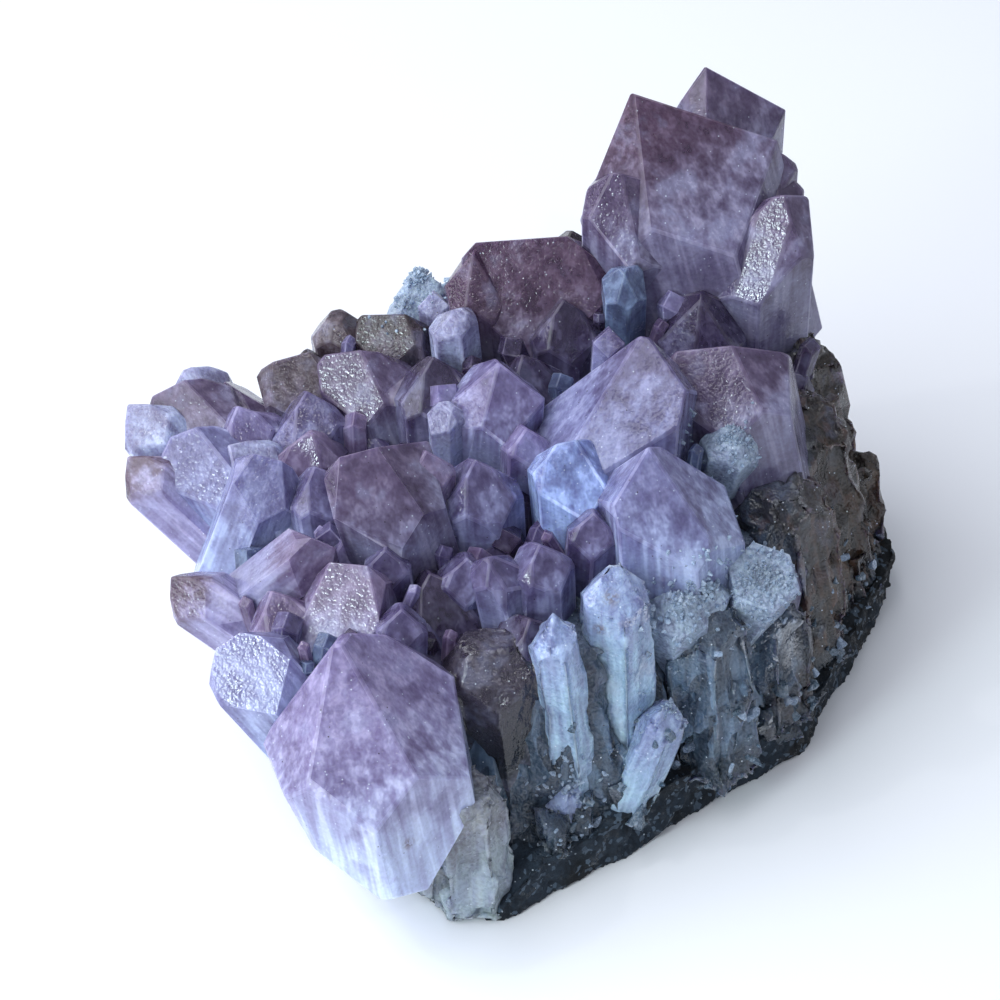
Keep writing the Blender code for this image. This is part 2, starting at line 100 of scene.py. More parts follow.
TALL_BACK_GROUP = [
    Crystal(
        "long_ridge", (19, 39, 88.8), (32, 37, 40), 30, 25, (3.5, 0), (0, 14, 0, 2, 0, 0),
        (((19, 39, 88.8), (-0.925, 0.246, 0.293)),),
    ),
    Crystal(
        "back_top", (31.5, 50, 86.8), (32, 52, 40), 16, 30, (4, 0), (0, 6, 0, 2, 0, 0),
        (((31.2, 50, 86.8), (-0.81, 0.37, 0.44)),),
    ),
    Crystal("left_shoulder", (16, 29, 80.5), (17, 37, 44), 18, -14, (5, 0), (0, 1, 5, 0, 0, 0)),
    Crystal(
        "bright_face", (42, 26.5, 78), (43.5, 35, 36), 18.5, 4, (-4, 0), (0, 0, 2, 0, 0, 0),
        (((42.4, 27.4, 77.3), (-0.343, -0.785, 0.515)),),
    ),
    Crystal("dark_blade", (30, 18.5, 63.6), (30.5, 28, 36), 14, 22, (0, 0), (0, 0, 1, 1, 0, 0)),
    Crystal("grey_bud", (17.9, 19, 68), (18.4, 27, 48), 6.6, 8, (0, 0), (0, 0, 2, 1, 1, 0)),
    Crystal("right_bump_high", (41.5, 38, 79.5), (42, 41, 40), 8, 20),
    Crystal("right_bump_low", (43, 36, 75.5), (43, 38, 40), 8, 50),
    Crystal("rear_guard", (8, 44, 57), (10, 43, 30), 17, 10),
    Crystal("rear_spare", (24, 50, 72), (26, 47, 34), 15, 40),
    Crystal("rear_root", (33, 51, 62), (31, 40, 4), 22, 30),
    Crystal("rear_root_left", (13, 45, 53), (13, 36, 4), 19, 12),
    Crystal("rear_root_right", (40, 42, 54), (43, 37, 4), 17, 45),
]

BACK_MIDDLE_GROUP = [
    Crystal("broad_ridge", (-4, 29.5, 67), (1, 32, 31), 23, -4, (7.5, 0), (0, 10, 9, 0, 1, 2)),
    Crystal("ridge_cheek", (-6, 27.5, 66), (-3, 31, 32), 12, 12, (1, 0), (0, 0, 1, 1, 0, 0)),
    Crystal("brown_sliver", (10, 36.5, 64.5), (12, 37, 34), 13, 20, (2, 0)),
    Crystal("slate_point", (8.5, 21.5, 61.5), (9, 24, 34), 12, 18),
    Crystal("umber_point", (2, 13, 57), (3, 15, 32), 15, 40, (1, 0)),
    Crystal("pale_stub", (-9, 16, 63.5), (-8, 20.5, 44), 7.6, 15, (0, 0), (2, 2, 1, 0, 0, 1)),
    Crystal("frosted_nub", (-15, 35, 58), (-13, 34, 34), 8, 10),
    Crystal("frosted_nub_low", (-17, 30, 56), (-15, 30, 34), 8, 35),
    Crystal("pale_sliver", (-12.5, 28.5, 58), (-11, 29, 36), 5, 0),
    Crystal("tawny_ball", (-28, 28, 54), (-26, 27, 30), 9.5, 15, (0, 0), (2, 1, 1, 1, 1, 2)),
    Crystal("smoky_block", (-22.5, 25, 56), (-19, 24, 32), 11, -10, (3, 0), (0, 4, 4, 0, 1, 1)),
    Crystal("little_bump", (-33, 21, 52), (-31, 21, 34), 7, 0),
]

LEFT_FLANK = [
    Crystal("rust_point", (-36.5, 19, 51.5), (-32, 18, 28), 11.5, 12, (1, 0), (0, 3, 3, 0, 2, 1)),
    Crystal("lilac_slab", (-28, 16, 55), (-22, 15, 30), 14, -6, (4, 0), (0, 3, 4, 0, 1, 2)),
    Crystal("glinting_tip", (-53, 21.5, 47.5), (-45, 20, 26), 9, 8, (1.5, 0), (0, 1, 2, 0, 0, 1)),
    Crystal("plum_shoulder", (-46, 19, 47), (-41, 17, 26), 9, 0, (2, 0)),
    Crystal("rosy_block", (-56, 15, 48), (-44, 12, 24), 14, 10, (3, 0), (0, 3, 4, 0, 1, 1)),
    Crystal("frosty_cheek", (-61, 12.5, 47.5), (-45, 8, 27), 10.5, 30),
    Crystal("speckled_tip", (-43, 9, 50), (-39, 8, 28), 10, 28),
    Crystal("facet_bunch", (-32, 9.5, 52.5), (-30, 9, 30), 12, 18, (-1, 0)),
    Crystal("moss_speck", (-31, 3, 50), (-30, 5, 30), 11, -12, (-1, 0), (1, 1, 0, 0, 0, 2)),
    Crystal("lilac_dome", (-52, 4.5, 48), (-42, 2, 24), 15, 6, (3, 0), (0, 2, 3, 0, 1, 2)),
    Crystal("outer_tooth", (-60.3, 3, 44.5), (-37, -3, 20), 9.5, 22),
    Crystal("violet_band", (-35, -5.5, 50.5), (-44, -7, 26), 11, 0, (-1, 0), (0, 0, 1, 0, 3, 3)),
    Crystal("dusk_wedge", (-30, -6, 50), (-28, -8, 28), 10.5, 32),
    Crystal("striped_finger", (-26, -23, 48), (-42, -17, 28), 10, 10, (-1, 0), (0, 0, 0, 0, 3, 3)),
    Crystal("low_tooth", (-51.5, -21, 40.5), (-30, -23, 21), 9.5, 12),
    Crystal("grey_facets", (-35.5, -28, 44), (-31, -29, 24), 10, 28),
    Crystal("mauve_block", (-24, -26, 47.5), (-22, -29, 20), 17, -14, (-3, 0), (0, 2, 2, 0, 2, 2)),
    Crystal("front_left_tooth", (-43, -38.5, 42), (-27, -40, 17), 13, 14, (2.5, 0), (0, 4, 3, 0, 0, 1)),
    Crystal(
        "great_front", (-25.5, -45, 48.5), (-19, -49, 6), 29, 6, (1.5, 0), (0, 1, 5, 2, 0, 0),
        (((-32.8, -55.7, 30), (-0.89, -0.29, -0.34)), ((-26.2, -57.6, 18), (-0.62, -0.5, -0.6)),
         ((-22, -57.5, 12), (-0.4, -0.59, -0.7)), ((-17, -56, 9.5), (0.17, -0.63, -0.75)), ((-7, -53.5, 20), (0.87, -0.32, -0.38))),
    ),
]

CENTRE_GROUP = [
    Crystal("dark_giant", (-24, -14.5, 59), (-18, -11.5, 30), 16.5, 8, (3.5, 0), (0, 3, 9, 0, 1, 1)),
    Crystal("giant_cheek", (-12.6, -11, 57), (-13, -9, 34), 8, 24, (0, 0)),
    Crystal("night_point", (-12, 10.5, 58.5), (-11, 11, 32), 13, 22),
    Crystal("clear_chip", (-10, 1.5, 55.5), (-9.5, 3, 42), 5.5, 10, (0, 0), (1, 1, 1, 1, 1, 0)),
    Crystal("lilac_point", (-1.7, 4.3, 62), (-3.5, 8.5, 32), 14, 12, (0, 0), (0, 5, 0, 1, 0, 0)),
    Crystal("lilac_foot", (2.5, -3, 55), (2, 0, 36), 7, 20),
    Crystal("great_pyramid", (19.7, 3.2, 68), (18.5, -0.5, 30), 23.5, -18, (-3, 0), (0, 9, 1, 0, 0, 0)),
    Crystal("tiny_violet", (15.5, 12.5, 62.5), (15, 13, 46), 5, 0),
    Crystal("icy_face", (7, -10, 57.5), (9, -8.5, 30), 12.5, 14, (2, 0), (0, 2, 3, 0, 0, 1)),
    Crystal("dusky_point", (-5.3, -10, 54.5), (-4, -9, 30), 12.5, 26),
    Crystal("twin_bud", (-2.5, -27, 50), (-0.5, -25, 36), 8, 8, (0, 0), (1, 0, 0, 0, 1, 1)),
    Crystal("twin_bud_mate", (4.4, -25.5, 51), (5, -24, 34), 9, 30),
    Crystal("violet_chip", (12.5, -19.5, 52), (12, -18, 36), 8, 0),
    Crystal("milky_giant", (20.5, -15, 61), (23.5, -15, 24), 20, 18, (2.5, 0), (0, 0, 1, 0, 0, 6)),
    Crystal("split_purple", (27, 7.5, 62), (35, 6, 28), 18, -8, (6, 0), (0, 5, 8, 0, 1, 1)),
    Crystal("frosted_pebble", (34.5, -3.5, 54), (33, 1, 42), 8.5, 15, (0, 0), (2, 1, 1, 1, 1, 2)),
    Crystal("deep_violet_gap", (-12, -24, 44), (-10, -22, 26), 16, 20),
    Crystal("shadow_point", (3, -33, 43), (2, -30, 24), 10, 40),
]

BROKEN_WALL = [
    Crystal("pale_column", (6, -36.5, 46), (10.5, -38, 5), 7.4, 20, (0, 0), (0, 2, 1, 1, 0, 0)),
    Crystal("column_stump", (7.5, -38.5, 17), (9, -38, 2), 9.5, 10, (0, 0), (3, 2, 3, 1, 2, 1)),
    Crystal("lilac_column", (15, -28.5, 50), (17, -30.5, 5), 10.5, 10, (0.5, 0), (0, 1, 1, 0, 0, 1)),
    Crystal("white_nugget", (25.5, -27, 42), (25, -22, 26), 9, 0, (0, 0), (1, 1, 2, 0, 1, 1)),
    Crystal("white_nugget_mate", (29.5, -25, 42.5), (28, -18, 28), 8, 20),
    Crystal("leaning_wedge", (24.7, -33, 26.5), (16, -38, 3), 7.5, 16),
    Crystal("wall_shoulder", (29, -22, 37), (32, -27, 3), 15, 12, (0, 0), (3, 4, 2, 0, 1, 2)),
    Crystal("wall_flake", (33, -26, 25), (33, -28, 2), 9, 34, (0, 0), (2, 3, 2, 1, 1, 1)),
    Crystal("drusy_stub", (38.5, -21, 40.5), (35, -12, 22), 10.2, 18, (0, 0), (9, 9, 9, 9, 9, 9)),
    Crystal("stub_socket", (40, -13, 30), (42, -16, 3), 14, 8, (0, 0), (4, 4, 2, 1, 2, 3)),
    Crystal("wall_rib", (44, -10, 22), (46.5, -12, 2), 8, 30, (0, 0), (2, 2, 1, 1, 1, 1)),
    Crystal("wall_block", (41, -1, 44), (47.5, 0, 3), 18, 16, (0, 0), (5, 4, 3, 2, 2, 4)),
    Crystal("right_block", (43.5, 14, 47), (55, 17, 3), 18, 4, (0, 0), (5, 3, 4, 3, 2, 4)),
    Crystal("right_corner", (43.5, 27, 49.5), (55.5, 31, 3), 16, 24, (0, 0), (4, 3, 4, 3, 2, 4)),
    Crystal("right_heel", (56, 24, 27), (60, 24.5, 2), 11, 12, (0, 0), (3, 3, 3, 2, 2, 2)),
    Crystal("cavity_face", (-2, -34, 40), (1, -35, 3), 15, 6, (-1, 0), (2, 3, 2, 2, 4, 4)),
    Crystal("corner_block", (-6.5, -50, 26), (-5.3, -50, -3), 12, 30, (0, 0), (4, 3, 3, 2, 3, 4)),
    Crystal(
        "corner_toe", (-10, -48, 16), (-11, -48, -3), 12, 50, (0, 0), (2, 2, 3, 1, 2, 2),
        (((-12.1, -55.4, 4), (-0.52, -0.55, -0.66)),),
    ),
]

# Small shafts that close the hollows where larger ones lean together.
HIDDEN_KNOTS = [
    Crystal("knot_left", (-34.5, -22.5, 37), (-34.5, -22.5, 26), 7),
    Crystal("knot_outer", (-37, -5.5, 34.5), (-37, -5.5, 28), 5),
    Crystal("knot_back", (19.3, 33.6, 46), (19.3, 33.6, 38), 5),
    Crystal("knot_middle", (16.7, 36.5, 37), (16.7, 36.5, 28), 6),
]

# Where rock and quartz meet: the rind's mean height, and its outline in plan.
ROCK_OUTLINE = [
    (-8, -54), (0, -55), (6, -50.5), (11, -47), (17, -43.5), (22, -39.5), (30.5, -32), (36, -28), (44.5, -22),
    (49, -18), (53.5, -8), (57, -2), (60, 5), (64.5, 15), (66.5, 22), (65, 32), (60, 41), (50, 48),
    (36, 53), (18, 54), (0, 50), (-16, 45), (-31, 38), (-42, 28), (-46, 16), (-42, 2), (-36, -13),
    (-31, -27), (-25, -38), (-17, -47),
]
QUARTZ_FOOT = 7.0
BARE_CORNER = ("corner_block", "corner_toe", "great_front")

# The bed under the points is a palisade of wide shafts, broken off low.
BED_SHAFTS = [
    (-33, -15), (-36, 4), (-38, 18), (-21, -29), (-18, -9), (-20, 13), (-13, 29), (0, -19), (3, 2),
    (4, 22), (20, -16), (24, 6), (24, 26), (37, -3), (39, 18), (9, 38), (30, 41), (-4, 42),
]
BED_TOP = 36.0
BED_ACROSS = 25.0
BED_HUDDLE = (8.0, 2.0)
BED_FAN = 0.24
BED_FOOT = 2.0

HEART_TOP = 33.0
HEART_FOOT = 2.0
HEART_FOOT_SCALE = 0.86
HEART_TOP_SCALE = 0.72
HEART_TOP_SHIFT = (-4.0, 1.0)

# Small points fill the gaps on top of the bed, and grow round the back and the left.
FILLER_PITCH = 8.5
FILLER_TIP = 44.5
FILLER_FOOT = 28.0
FILLER_ACROSS = (6.5, 10.5)
FILLER_LEAN = 0.22
FILLER_REACH = (44.0, 40.0)
WALL_CLEARANCE = 24.0
FILLER_GAPS = {(0, 3), (1, 1), (1, 2), (2, 1), (5, 3)}
BACK_ROW_ANGLES = range(62, 212, 15)
BACK_ROW_RADII = (49.0, 40.0)
BACK_ROW_TIP = 44.0

# Low shafts stand side by side along the rind's edge at the back and the left.
SKIRT_EDGE = ROCK_OUTLINE[17:29]
SKIRT_FOOT_SCALE = 0.85
SKIRT_TIP_SCALE = 0.98
SKIRT_TIP = 31.0
SKIRT_ACROSS = (11.0, 14.5)

CREVICE_TRIES = 520
CREVICE_ACROSS = (1.8, 4.6)
CREVICE_LENGTH = (5.0, 9.0)
CREVICE_DEPTH = 3.5

DRUSY = {
    "drusy_stub": (420, (0.5, 1.1)),
    "frosted_pebble": (120, (0.5, 1.2)),
    "white_nugget": (140, (0.6, 1.5)),
    "white_nugget_mate": (120, (0.6, 1.5)),
    "frosted_nub": (90, (0.5, 1.3)),
    "frosted_nub_low": (60, (0.5, 1.2)),
    "column_stump": (110, (0.5, 1.3)),
    "leaning_wedge": (60, (0.4, 1.0)),
}
# The broken mass between the wall's columns slopes back from the rind to the bed.
WALL_EDGE = ROCK_OUTLINE[1:18]
WALL_PITCH = 0.85
WALL_LOW = 5.0
WALL_HIGH = 37.0
WALL_INSET_LOW = 0.97
WALL_INSET_HIGH = 0.76
WALL_INSET_BACK = 0.45
WALL_DENT = 0.1
SHARD_PITCH = 3.6
SHARD_DEPTH = 2.2
BLADE_EDGE = ROCK_OUTLINE[2:16]
BLADE_COUNT = 90
BLADE_HEIGHT = (4.0, 15.0)
BLADE_INSET = (0.86, 0.96)
BLADE_SLOPE = 0.009
BLADE_ACROSS = (2.2, 5.5)
RUBBLE_COUNT = 160
RUBBLE_SIZE = (0.7, 2.2)
ROCK_VOXEL = 0.9

SKY_COLOUR = (0.74, 0.8, 0.92)
SKY_STRENGTH = 0.5
LIGHTS = [
    ("window", (-520, -60, 640), (1200, 1100), 11.0, (0.92, 0.95, 1.0)),
    ("glint", (-265, -309, 223), (80, 80), 0.6, (0.8, 0.97, 1.0)),
    ("spark_left", (-300, -60, 420), (12, 12), 0.12, (1.0, 1.0, 1.0)),
    ("spark_front", (60, -330, 420), (12, 12), 0.12, (1.0, 1.0, 1.0)),
]

# Wear on each crystal.
EDGE_WIDTH = 0.35
SMALL_EDGE_WIDTH = 0.16
SMALL_CRYSTAL = 7.0
CHIP_DEPTH = (0.08, 0.3)
CHIP_SPACING = 16.0
CHIP_FREE_TIP = 4.0
CHIP_LIMIT = 0.45
SLICE_ACROSS = 0.95
SLICE_ALONG = 1.3

# Colours are given as they look in daylight, each part from 0 to 255. A crystal is tip-coloured down to start
# millimetres under its tip and root-coloured from depth millimetres below that. cloud runs from 0, clear, to
# 1, milky; frost from 0, polished, to 1, sugary; stain is the share of brown film; rough is the depth in
# millimetres of a broken, fluted surface.
Look = namedtuple("Look", "tip root start depth cloud frost stain rough", defaults=(0.0, 0.0, 0.0))

LOOKS = {
    "wine": Look((78, 56, 80), (110, 106, 136), 5, 16, 0.6, 0.05, 0.04),
    "plum": Look((92, 78, 108), (106, 104, 134), 3, 12, 0.6, 0.05, 0.05),
    "night": Look((66, 56, 84), (92, 90, 122), 2, 10, 0.5, 0.0, 0.05),
    "violet": Look((92, 84, 124), (112, 114, 154), 2, 10, 0.55, 0.05, 0.03),
    "lilac": Look((114, 106, 148), (134, 140, 178), 3, 12, 0.65, 0.05, 0.0),
    "mauve": Look((112, 98, 132), (124, 124, 160), 3, 10, 0.62, 0.05, 0.05),
    "milk": Look((112, 112, 154), (136, 148, 186), 4, 16, 0.72, 0.05, 0.03),
    "great": Look((124, 116, 156), (164, 176, 210), 8, 26, 0.75, 0.05, 0.04),
    "pale": Look((124, 124, 158), (138, 146, 180), 2, 8, 0.65, 0.3, 0.0),
    "slate": Look((92, 106, 140), (108, 126, 164), 2, 8, 0.55, 0.1, 0.0),
    "icy": Look((116, 130, 180), (136, 154, 204), 2, 8, 0.65, 0.1, 0.0),
    "smoke": Look((62, 48, 54), (84, 74, 92), 2, 8, 0.4, 0.05, 0.15),
    "rust": Look((84, 72, 80), (96, 88, 112), 2, 8, 0.6, 0.1, 0.12),
    "frosted": Look((120, 136, 160), (116, 132, 154), 1, 6, 0.6, 0.9, 0.06),
    "column": Look((132, 148, 188), (138, 164, 192), 3, 14, 0.65, 0.3, 0.08, 0.8),
    # cavity: dark smoky grey-brown quartz, darkened further as painted shade in the recess and between the shafts.
    "cavity": Look((64, 58, 72), (38, 41, 47), 3, 14, 0.5, 0.05, 0.1, 0.6),
    "corner": Look((118, 122, 130), (128, 142, 154), 4, 14, 0.65, 0.3, 0.15, 1.6),
    # smoky_wall: the stone's own brown, made darker as painted shade on the right side of the wall.
    "smoky_wall": Look((50, 43, 40), (42, 34, 26), 1, 6, 0.75, 0.05, 0.4, 2.2),
    "blue_wall": Look((84, 96, 114), (54, 68, 82), 3, 12, 0.65, 0.15, 0.15, 2.0),
    "browned": Look((92, 74, 92), (132, 128, 166), 1, 8, 0.65, 0.1, 0.04),
    "bed": Look((92, 88, 124), (96, 98, 120), 2, 10, 0.6, 0.1, 0.03),
}
TINT_GAIN = (1.28, 1.25, 1.18)
# Where rust has settled: places in millimetres, each with its reach.
RUST_SPOTS = [((15.0, -33.0, 47.0), 2.4), ((13.0, -34.0, 41.0), 1.6), ((-14.0, -62.0, 25.0), 1.8)]

LOOK_NAMES = {
    "wine": "long_ridge broad_ridge ridge_cheek",
    "plum": "back_top left_shoulder bright_face right_bump_high right_bump_low rear_guard rear_spare split_purple"
    " plum_shoulder rosy_block dark_giant lilac_slab",
    "night": "dark_blade night_point umber_point deep_violet_gap shadow_point slate_point",
    "violet": "great_pyramid dusky_point tiny_violet violet_chip twin_bud twin_bud_mate facet_bunch dusk_wedge",
    "lilac": "lilac_point lilac_foot speckled_tip",
    "browned": "outer_tooth low_tooth",
    "mauve": "mauve_block grey_facets moss_speck striped_finger giant_cheek",
    "milk": "milky_giant violet_band front_left_tooth lilac_dome",
    "great": "great_front",
    "pale": "pale_stub pale_sliver clear_chip glinting_tip frosty_cheek",
    "slate": "grey_bud",
    "icy": "icy_face",
    "smoke": "smoky_block brown_sliver little_bump",
    "rust": "rust_point tawny_ball",
    "frosted": "frosted_nub frosted_nub_low frosted_pebble white_nugget white_nugget_mate drusy_stub",
    "column": "pale_column column_stump lilac_column leaning_wedge",
    "cavity": "cavity_face",
    "corner": "corner_block corner_toe",
    "smoky_wall": "wall_block right_block right_corner right_heel",
    "blue_wall": "wall_shoulder wall_flake stub_socket wall_rib",
}
LOOK_OF = {name: look for look, names in LOOK_NAMES.items() for name in names.split()}
WALL_PIECES = [name for name, look in LOOK_OF.items() if look in ("smoky_wall", "blue_wall")]


def daylight(red, green, blue):
    """A colour as it looks on a screen, 0 to 255, turned into the light values that shaders use."""
    shares = (part / 255 for part in (red, green, blue))
    return tuple(part / 12.92 if part <= 0.04045 else ((part + 0.055) / 1.055) ** 2.4 for part in shares)


class Wire:
    """One output of a shader node. Arithmetic on it adds Math nodes, or Vector Math for colours and vectors."""

    def __init__(self, paint, socket):
        self.paint = paint
        self.socket = socket

    def is_number(self):
        return self.socket.type == "VALUE"

    def worked(self, operation, *others):
        return self.paint.arithmetic(operation, self, *others)

    def __add__(self, other):
        return self.paint.arithmetic("ADD", self, other)

    def __radd__(self, other):
        return self.paint.arithmetic("ADD", other, self)

    def __sub__(self, other):
        return self.paint.arithmetic("SUBTRACT", self, other)

    def __rsub__(self, other):
        return self.paint.arithmetic("SUBTRACT", other, self)

    def __mul__(self, other):
        return self.paint.arithmetic("MULTIPLY", self, other)

    def __rmul__(self, other):
        return self.paint.arithmetic("MULTIPLY", other, self)

    def __truediv__(self, other):
        return self.paint.arithmetic("DIVIDE", self, other)

    def __rtruediv__(self, other):
        return self.paint.arithmetic("DIVIDE", other, self)

    def __pow__(self, other):
        return self.paint.arithmetic("POWER", self, other)

    def abs(self):
        return self.worked("ABSOLUTE")

    def length(self):
        return self.paint.node("ShaderNodeVectorMath", {"operation": "LENGTH"}, {0: self}, "Value")

    def at_most(self, other):
        return self.worked("MINIMUM", other)

    def at_least(self, other):
        return self.worked("MAXIMUM", other)

    def clamped(self):
        return self.at_most(1.0).at_least(0.0)

    def part(self, letter):
        return self.paint.node("ShaderNodeSeparateXYZ", {}, {"Vector": self}, letter)

    def ramp(self, low, high, low_value=0.0, high_value=1.0):
        """Smoothly from low_value to high_value while this goes from low to high."""
        sockets = {0: self, 1: low, 2: high, 3: low_value, 4: high_value}
        return self.paint.node("ShaderNodeMapRange", {"interpolation_type": "SMOOTHSTEP"}, sockets)


class Paint:
    """A material under way: one method adds any node, and the others are the few that come up often."""

    def __init__(self, name):
        self.material = bpy.data.materials.new(name)
        self.material.use_nodes = True
        self.tree = self.material.node_tree
        self.tree.nodes.clear()

    def node(self, kind, settings, sockets, output=0):
        """Adds a node of this kind: its settings first, then the values or links of its sockets."""
        made = self.tree.nodes.new(kind)
        for name, value in settings.items():
            setattr(made, name, value)
        for name, value in sockets.items():
            if isinstance(value, Wire):
                self.tree.links.new(value.socket, made.inputs[name])
            else:
                made.inputs[name].default_value = value
        return Wire(self, made.outputs[output])

    def arithmetic(self, operation, *values):
        numbers = all(not isinstance(v, tuple) and not (isinstance(v, Wire) and not v.is_number()) for v in values)
        kind = "ShaderNodeMath" if numbers else "ShaderNodeVectorMath"
        if not numbers:
            values = [(v, v, v) if isinstance(v, (int, float)) else v for v in values]
        return self.node(kind, {"operation": operation}, dict(enumerate(values)))

    def attribute(self, name, output):
        return self.node("ShaderNodeAttribute", {"attribute_name": name}, {}, output)

    def mix(self, share, first, second):
        """A colour between two, more like the second where share is near 1."""
        first, second = (v if isinstance(v, Wire) else (*v, 1.0) for v in (first, second))
        return self.node("ShaderNodeMix", {"data_type": "RGBA"}, {0: share, 6: first, 7: second}, 2)

    def noise(self, place, scale, detail=3.0, roughness=0.5, distortion=0.0):
        sockets = {"Vector": place, "Scale": scale, "Detail": detail, "Roughness": roughness, "Distortion": distortion}
        return self.node("ShaderNodeTexNoise", {}, sockets)

    def cells(self, place, scale, output="Distance", feature="F1"):
        return self.node("ShaderNodeTexVoronoi", {"feature": feature}, {"Vector": place, "Scale": scale}, output)

    def bump(self, height, distance, strength, under=None):
        sockets = {"Height": height, "Distance": distance, "Strength": strength}
        if under is not None:
            sockets["Normal"] = under
        return self.node("ShaderNodeBump", {}, sockets, "Normal")

    def place_mm(self):
        """The place on the object, in millimetres."""
        return self.node("ShaderNodeTexCoord", {}, {}, "Object") * (1 / MM)

    def finish(self, surface, volume=None):
        sockets = {"Surface": surface}
        if volume is not None:
            sockets["Volume"] = volume
        output = self.tree.nodes.new("ShaderNodeOutputMaterial")
        for name, wire in sockets.items():
            self.tree.links.new(wire.socket, output.inputs[name])
        return self.material


def paint_amethyst():
    """Quartz zoned from violet tips to milky roots: clear and cloudy parts mixed, over a faint violet volume."""
    paint = Paint("amethyst")
    local = paint.attribute("local", "Vector")
    tip_tint = paint.attribute("tip_tint", "Color")
    root_tint = paint.attribute("root_tint", "Color")
    zone = paint.attribute("zone", "Vector")
    finish = paint.attribute("finish", "Vector")
    surface = paint.attribute("surface", "Vector")
    start, depth, cloud = zone.part("X"), zone.part("Y"), zone.part("Z")
    frost, stain, seed = finish.part("X"), finish.part("Y"), finish.part("Z")
    edge, broken = surface.part("Y"), surface.part("Z")
    place = paint.place_mm()
    below = 0.0 - local.part("Z")
    shifted = local + paint.node("ShaderNodeCombineXYZ", {}, {0: seed * 31.0, 1: seed * 17.0, 2: 0.0})

    # Wisps run along the crystal; clouds don't follow it.
    wisps = paint.noise(shifted * (0.6, 0.6, 0.06), 1.0, 2.0, 0.65)
    clouds = paint.noise(shifted, 0.17, 3.0, 0.6)
    grain = paint.noise(place, 1.7, 1.0, 0.6)

    # Colour from tip to root.
    down = (below + (wisps - 0.5) * 12.0 + (clouds - 0.5) * 10.0 - start) / depth
    rooted = down.ramp(0.0, 1.0)
    tint = paint.mix(rooted, tip_tint, root_tint)
    tint = paint.mix(wisps.ramp(0.48, 0.66) * 0.7, tint, tint * (1.5, 1.5, 1.35) + (0.03, 0.033, 0.05))
    tint = paint.mix(wisps.ramp(0.5, 0.34) * 0.5, tint, tint * (0.58, 0.48, 0.62))
    tint = paint.mix(clouds.ramp(0.52, 0.66) * 0.25, tint, daylight(150, 156, 188))
    tint = paint.mix(clouds.ramp(0.5, 0.36) * 0.4, tint, tint * (0.56, 0.46, 0.62))
    tint = tint * (0.8 + grain * 0.4)

    # The broken wall goes from grey through blue to near-black at the rind, and to dark brown on the right: the
    # stone's own brown, darkened as painted shade on that side, which faces away from the main light.
    level, side = place.part("Z"), place.part("X")
    smoky = (side + (clouds - 0.5) * 30.0).ramp(38.0, 52.0)
    wall = paint.mix(smoky, daylight(70, 88, 106), daylight(54, 44, 34))
    blades = paint.cells(place * (1.0, 1.0, 0.35), 0.45, "Color")
    wall = paint.mix(blades.part("X"), wall * (0.35, 0.35, 0.38), wall * (1.9, 1.9, 1.9))
    wall = paint.mix(wisps.ramp(0.35, 0.65), wall * (0.6, 0.6, 0.62), wall * (1.4, 1.4, 1.4))
    walled = broken.ramp(0.4, 0.9)
    tint = paint.mix(walled * (level + (clouds - 0.5) * 24.0).ramp(18.0, 42.0, 0.9, 0.35), tint, wall)
    tint = paint.mix(walled * (level + (clouds - 0.5) * 8.0).ramp(8.0, 17.0, 0.85, 0.0), tint, daylight(32, 43, 53))

    # Brown iron film in the hollows of the broken parts and on three spots, rare dark red specks, and white specks
    # that are painted glints, stronger on frosted and broken parts.
    film = (wisps * 0.5 + clouds * 0.5).ramp(0.5, 0.62) * stain
    for spot, reach in RUST_SPOTS:
        film = film.at_least((place - spot).length().ramp(reach, reach * 0.4) * grain.ramp(0.35, 0.55) * 0.85)
    tint = paint.mix(film, tint, daylight(92, 58, 34))
    speck = paint.cells(place, 0.85).ramp(0.13, 0.07)
    kind = paint.cells(place, 0.85, "Color")
    tint = paint.mix(speck * kind.part("X").ramp(0.16, 0.12) * 0.85, tint, daylight(48, 30, 34))
    # Painted glints: some specks are turned near-white in the colour to stand in for sparkle.
    lit = speck * kind.part("X").ramp(0.5, 0.6) * (0.55 + frost * 0.5 + broken * 0.5).clamped()
    tint = paint.mix(lit, tint, daylight(222, 232, 246))
    # Painted highlight: the bevelled edge faces are made lighter in the colour.
    tint = paint.mix(edge * 0.12, tint, tint * (1.4, 1.4, 1.35))
    tint = paint.mix(frost * grain.ramp(0.35, 0.65) * 0.45, tint, daylight(190, 204, 226))

    shine = clouds.ramp(0.35, 0.65, 0.06, 0.2) + grain * 0.1 + frost * 0.2 + edge * 0.25
    height = grain * (1.2 + broken * 2.5 + frost * 3.5)
    normal = paint.bump(height, 0.12 * MM, 0.6)

    clear = paint.node(
        "ShaderNodeBsdfPrincipled",
        {},
        {
            "Base Color": paint.mix(0.3, tint, (1.0, 1.0, 1.0)),
            "Roughness": shine,
            "IOR": 1.54,
            "Transmission Weight": 1.0,
            "Normal": normal,
        },
    )
    milky = paint.node(
        "ShaderNodeBsdfPrincipled",
        {},
        {
            "Base Color": tint,
            "Roughness": shine,
            "IOR": 1.54,
            "Subsurface Weight": 0.45,
            "Subsurface Radius": (0.95, 0.85, 1.2),
            "Subsurface Scale": 3.0 * MM,
            "Normal": normal,
        },
    )
    share = (cloud + 0.12 + (clouds - 0.5) * 0.9 + rooted * 0.2 + frost * 0.3).clamped()
    body = paint.node("ShaderNodeMixShader", {}, {0: share, 1: clear, 2: milky})
    volume = paint.node(
        "ShaderNodeVolumeAbsorption", {}, {"Color": (0.62, 0.52, 0.86, 1.0), "Density": 34.0}
    )
    return paint.finish(body, volume)


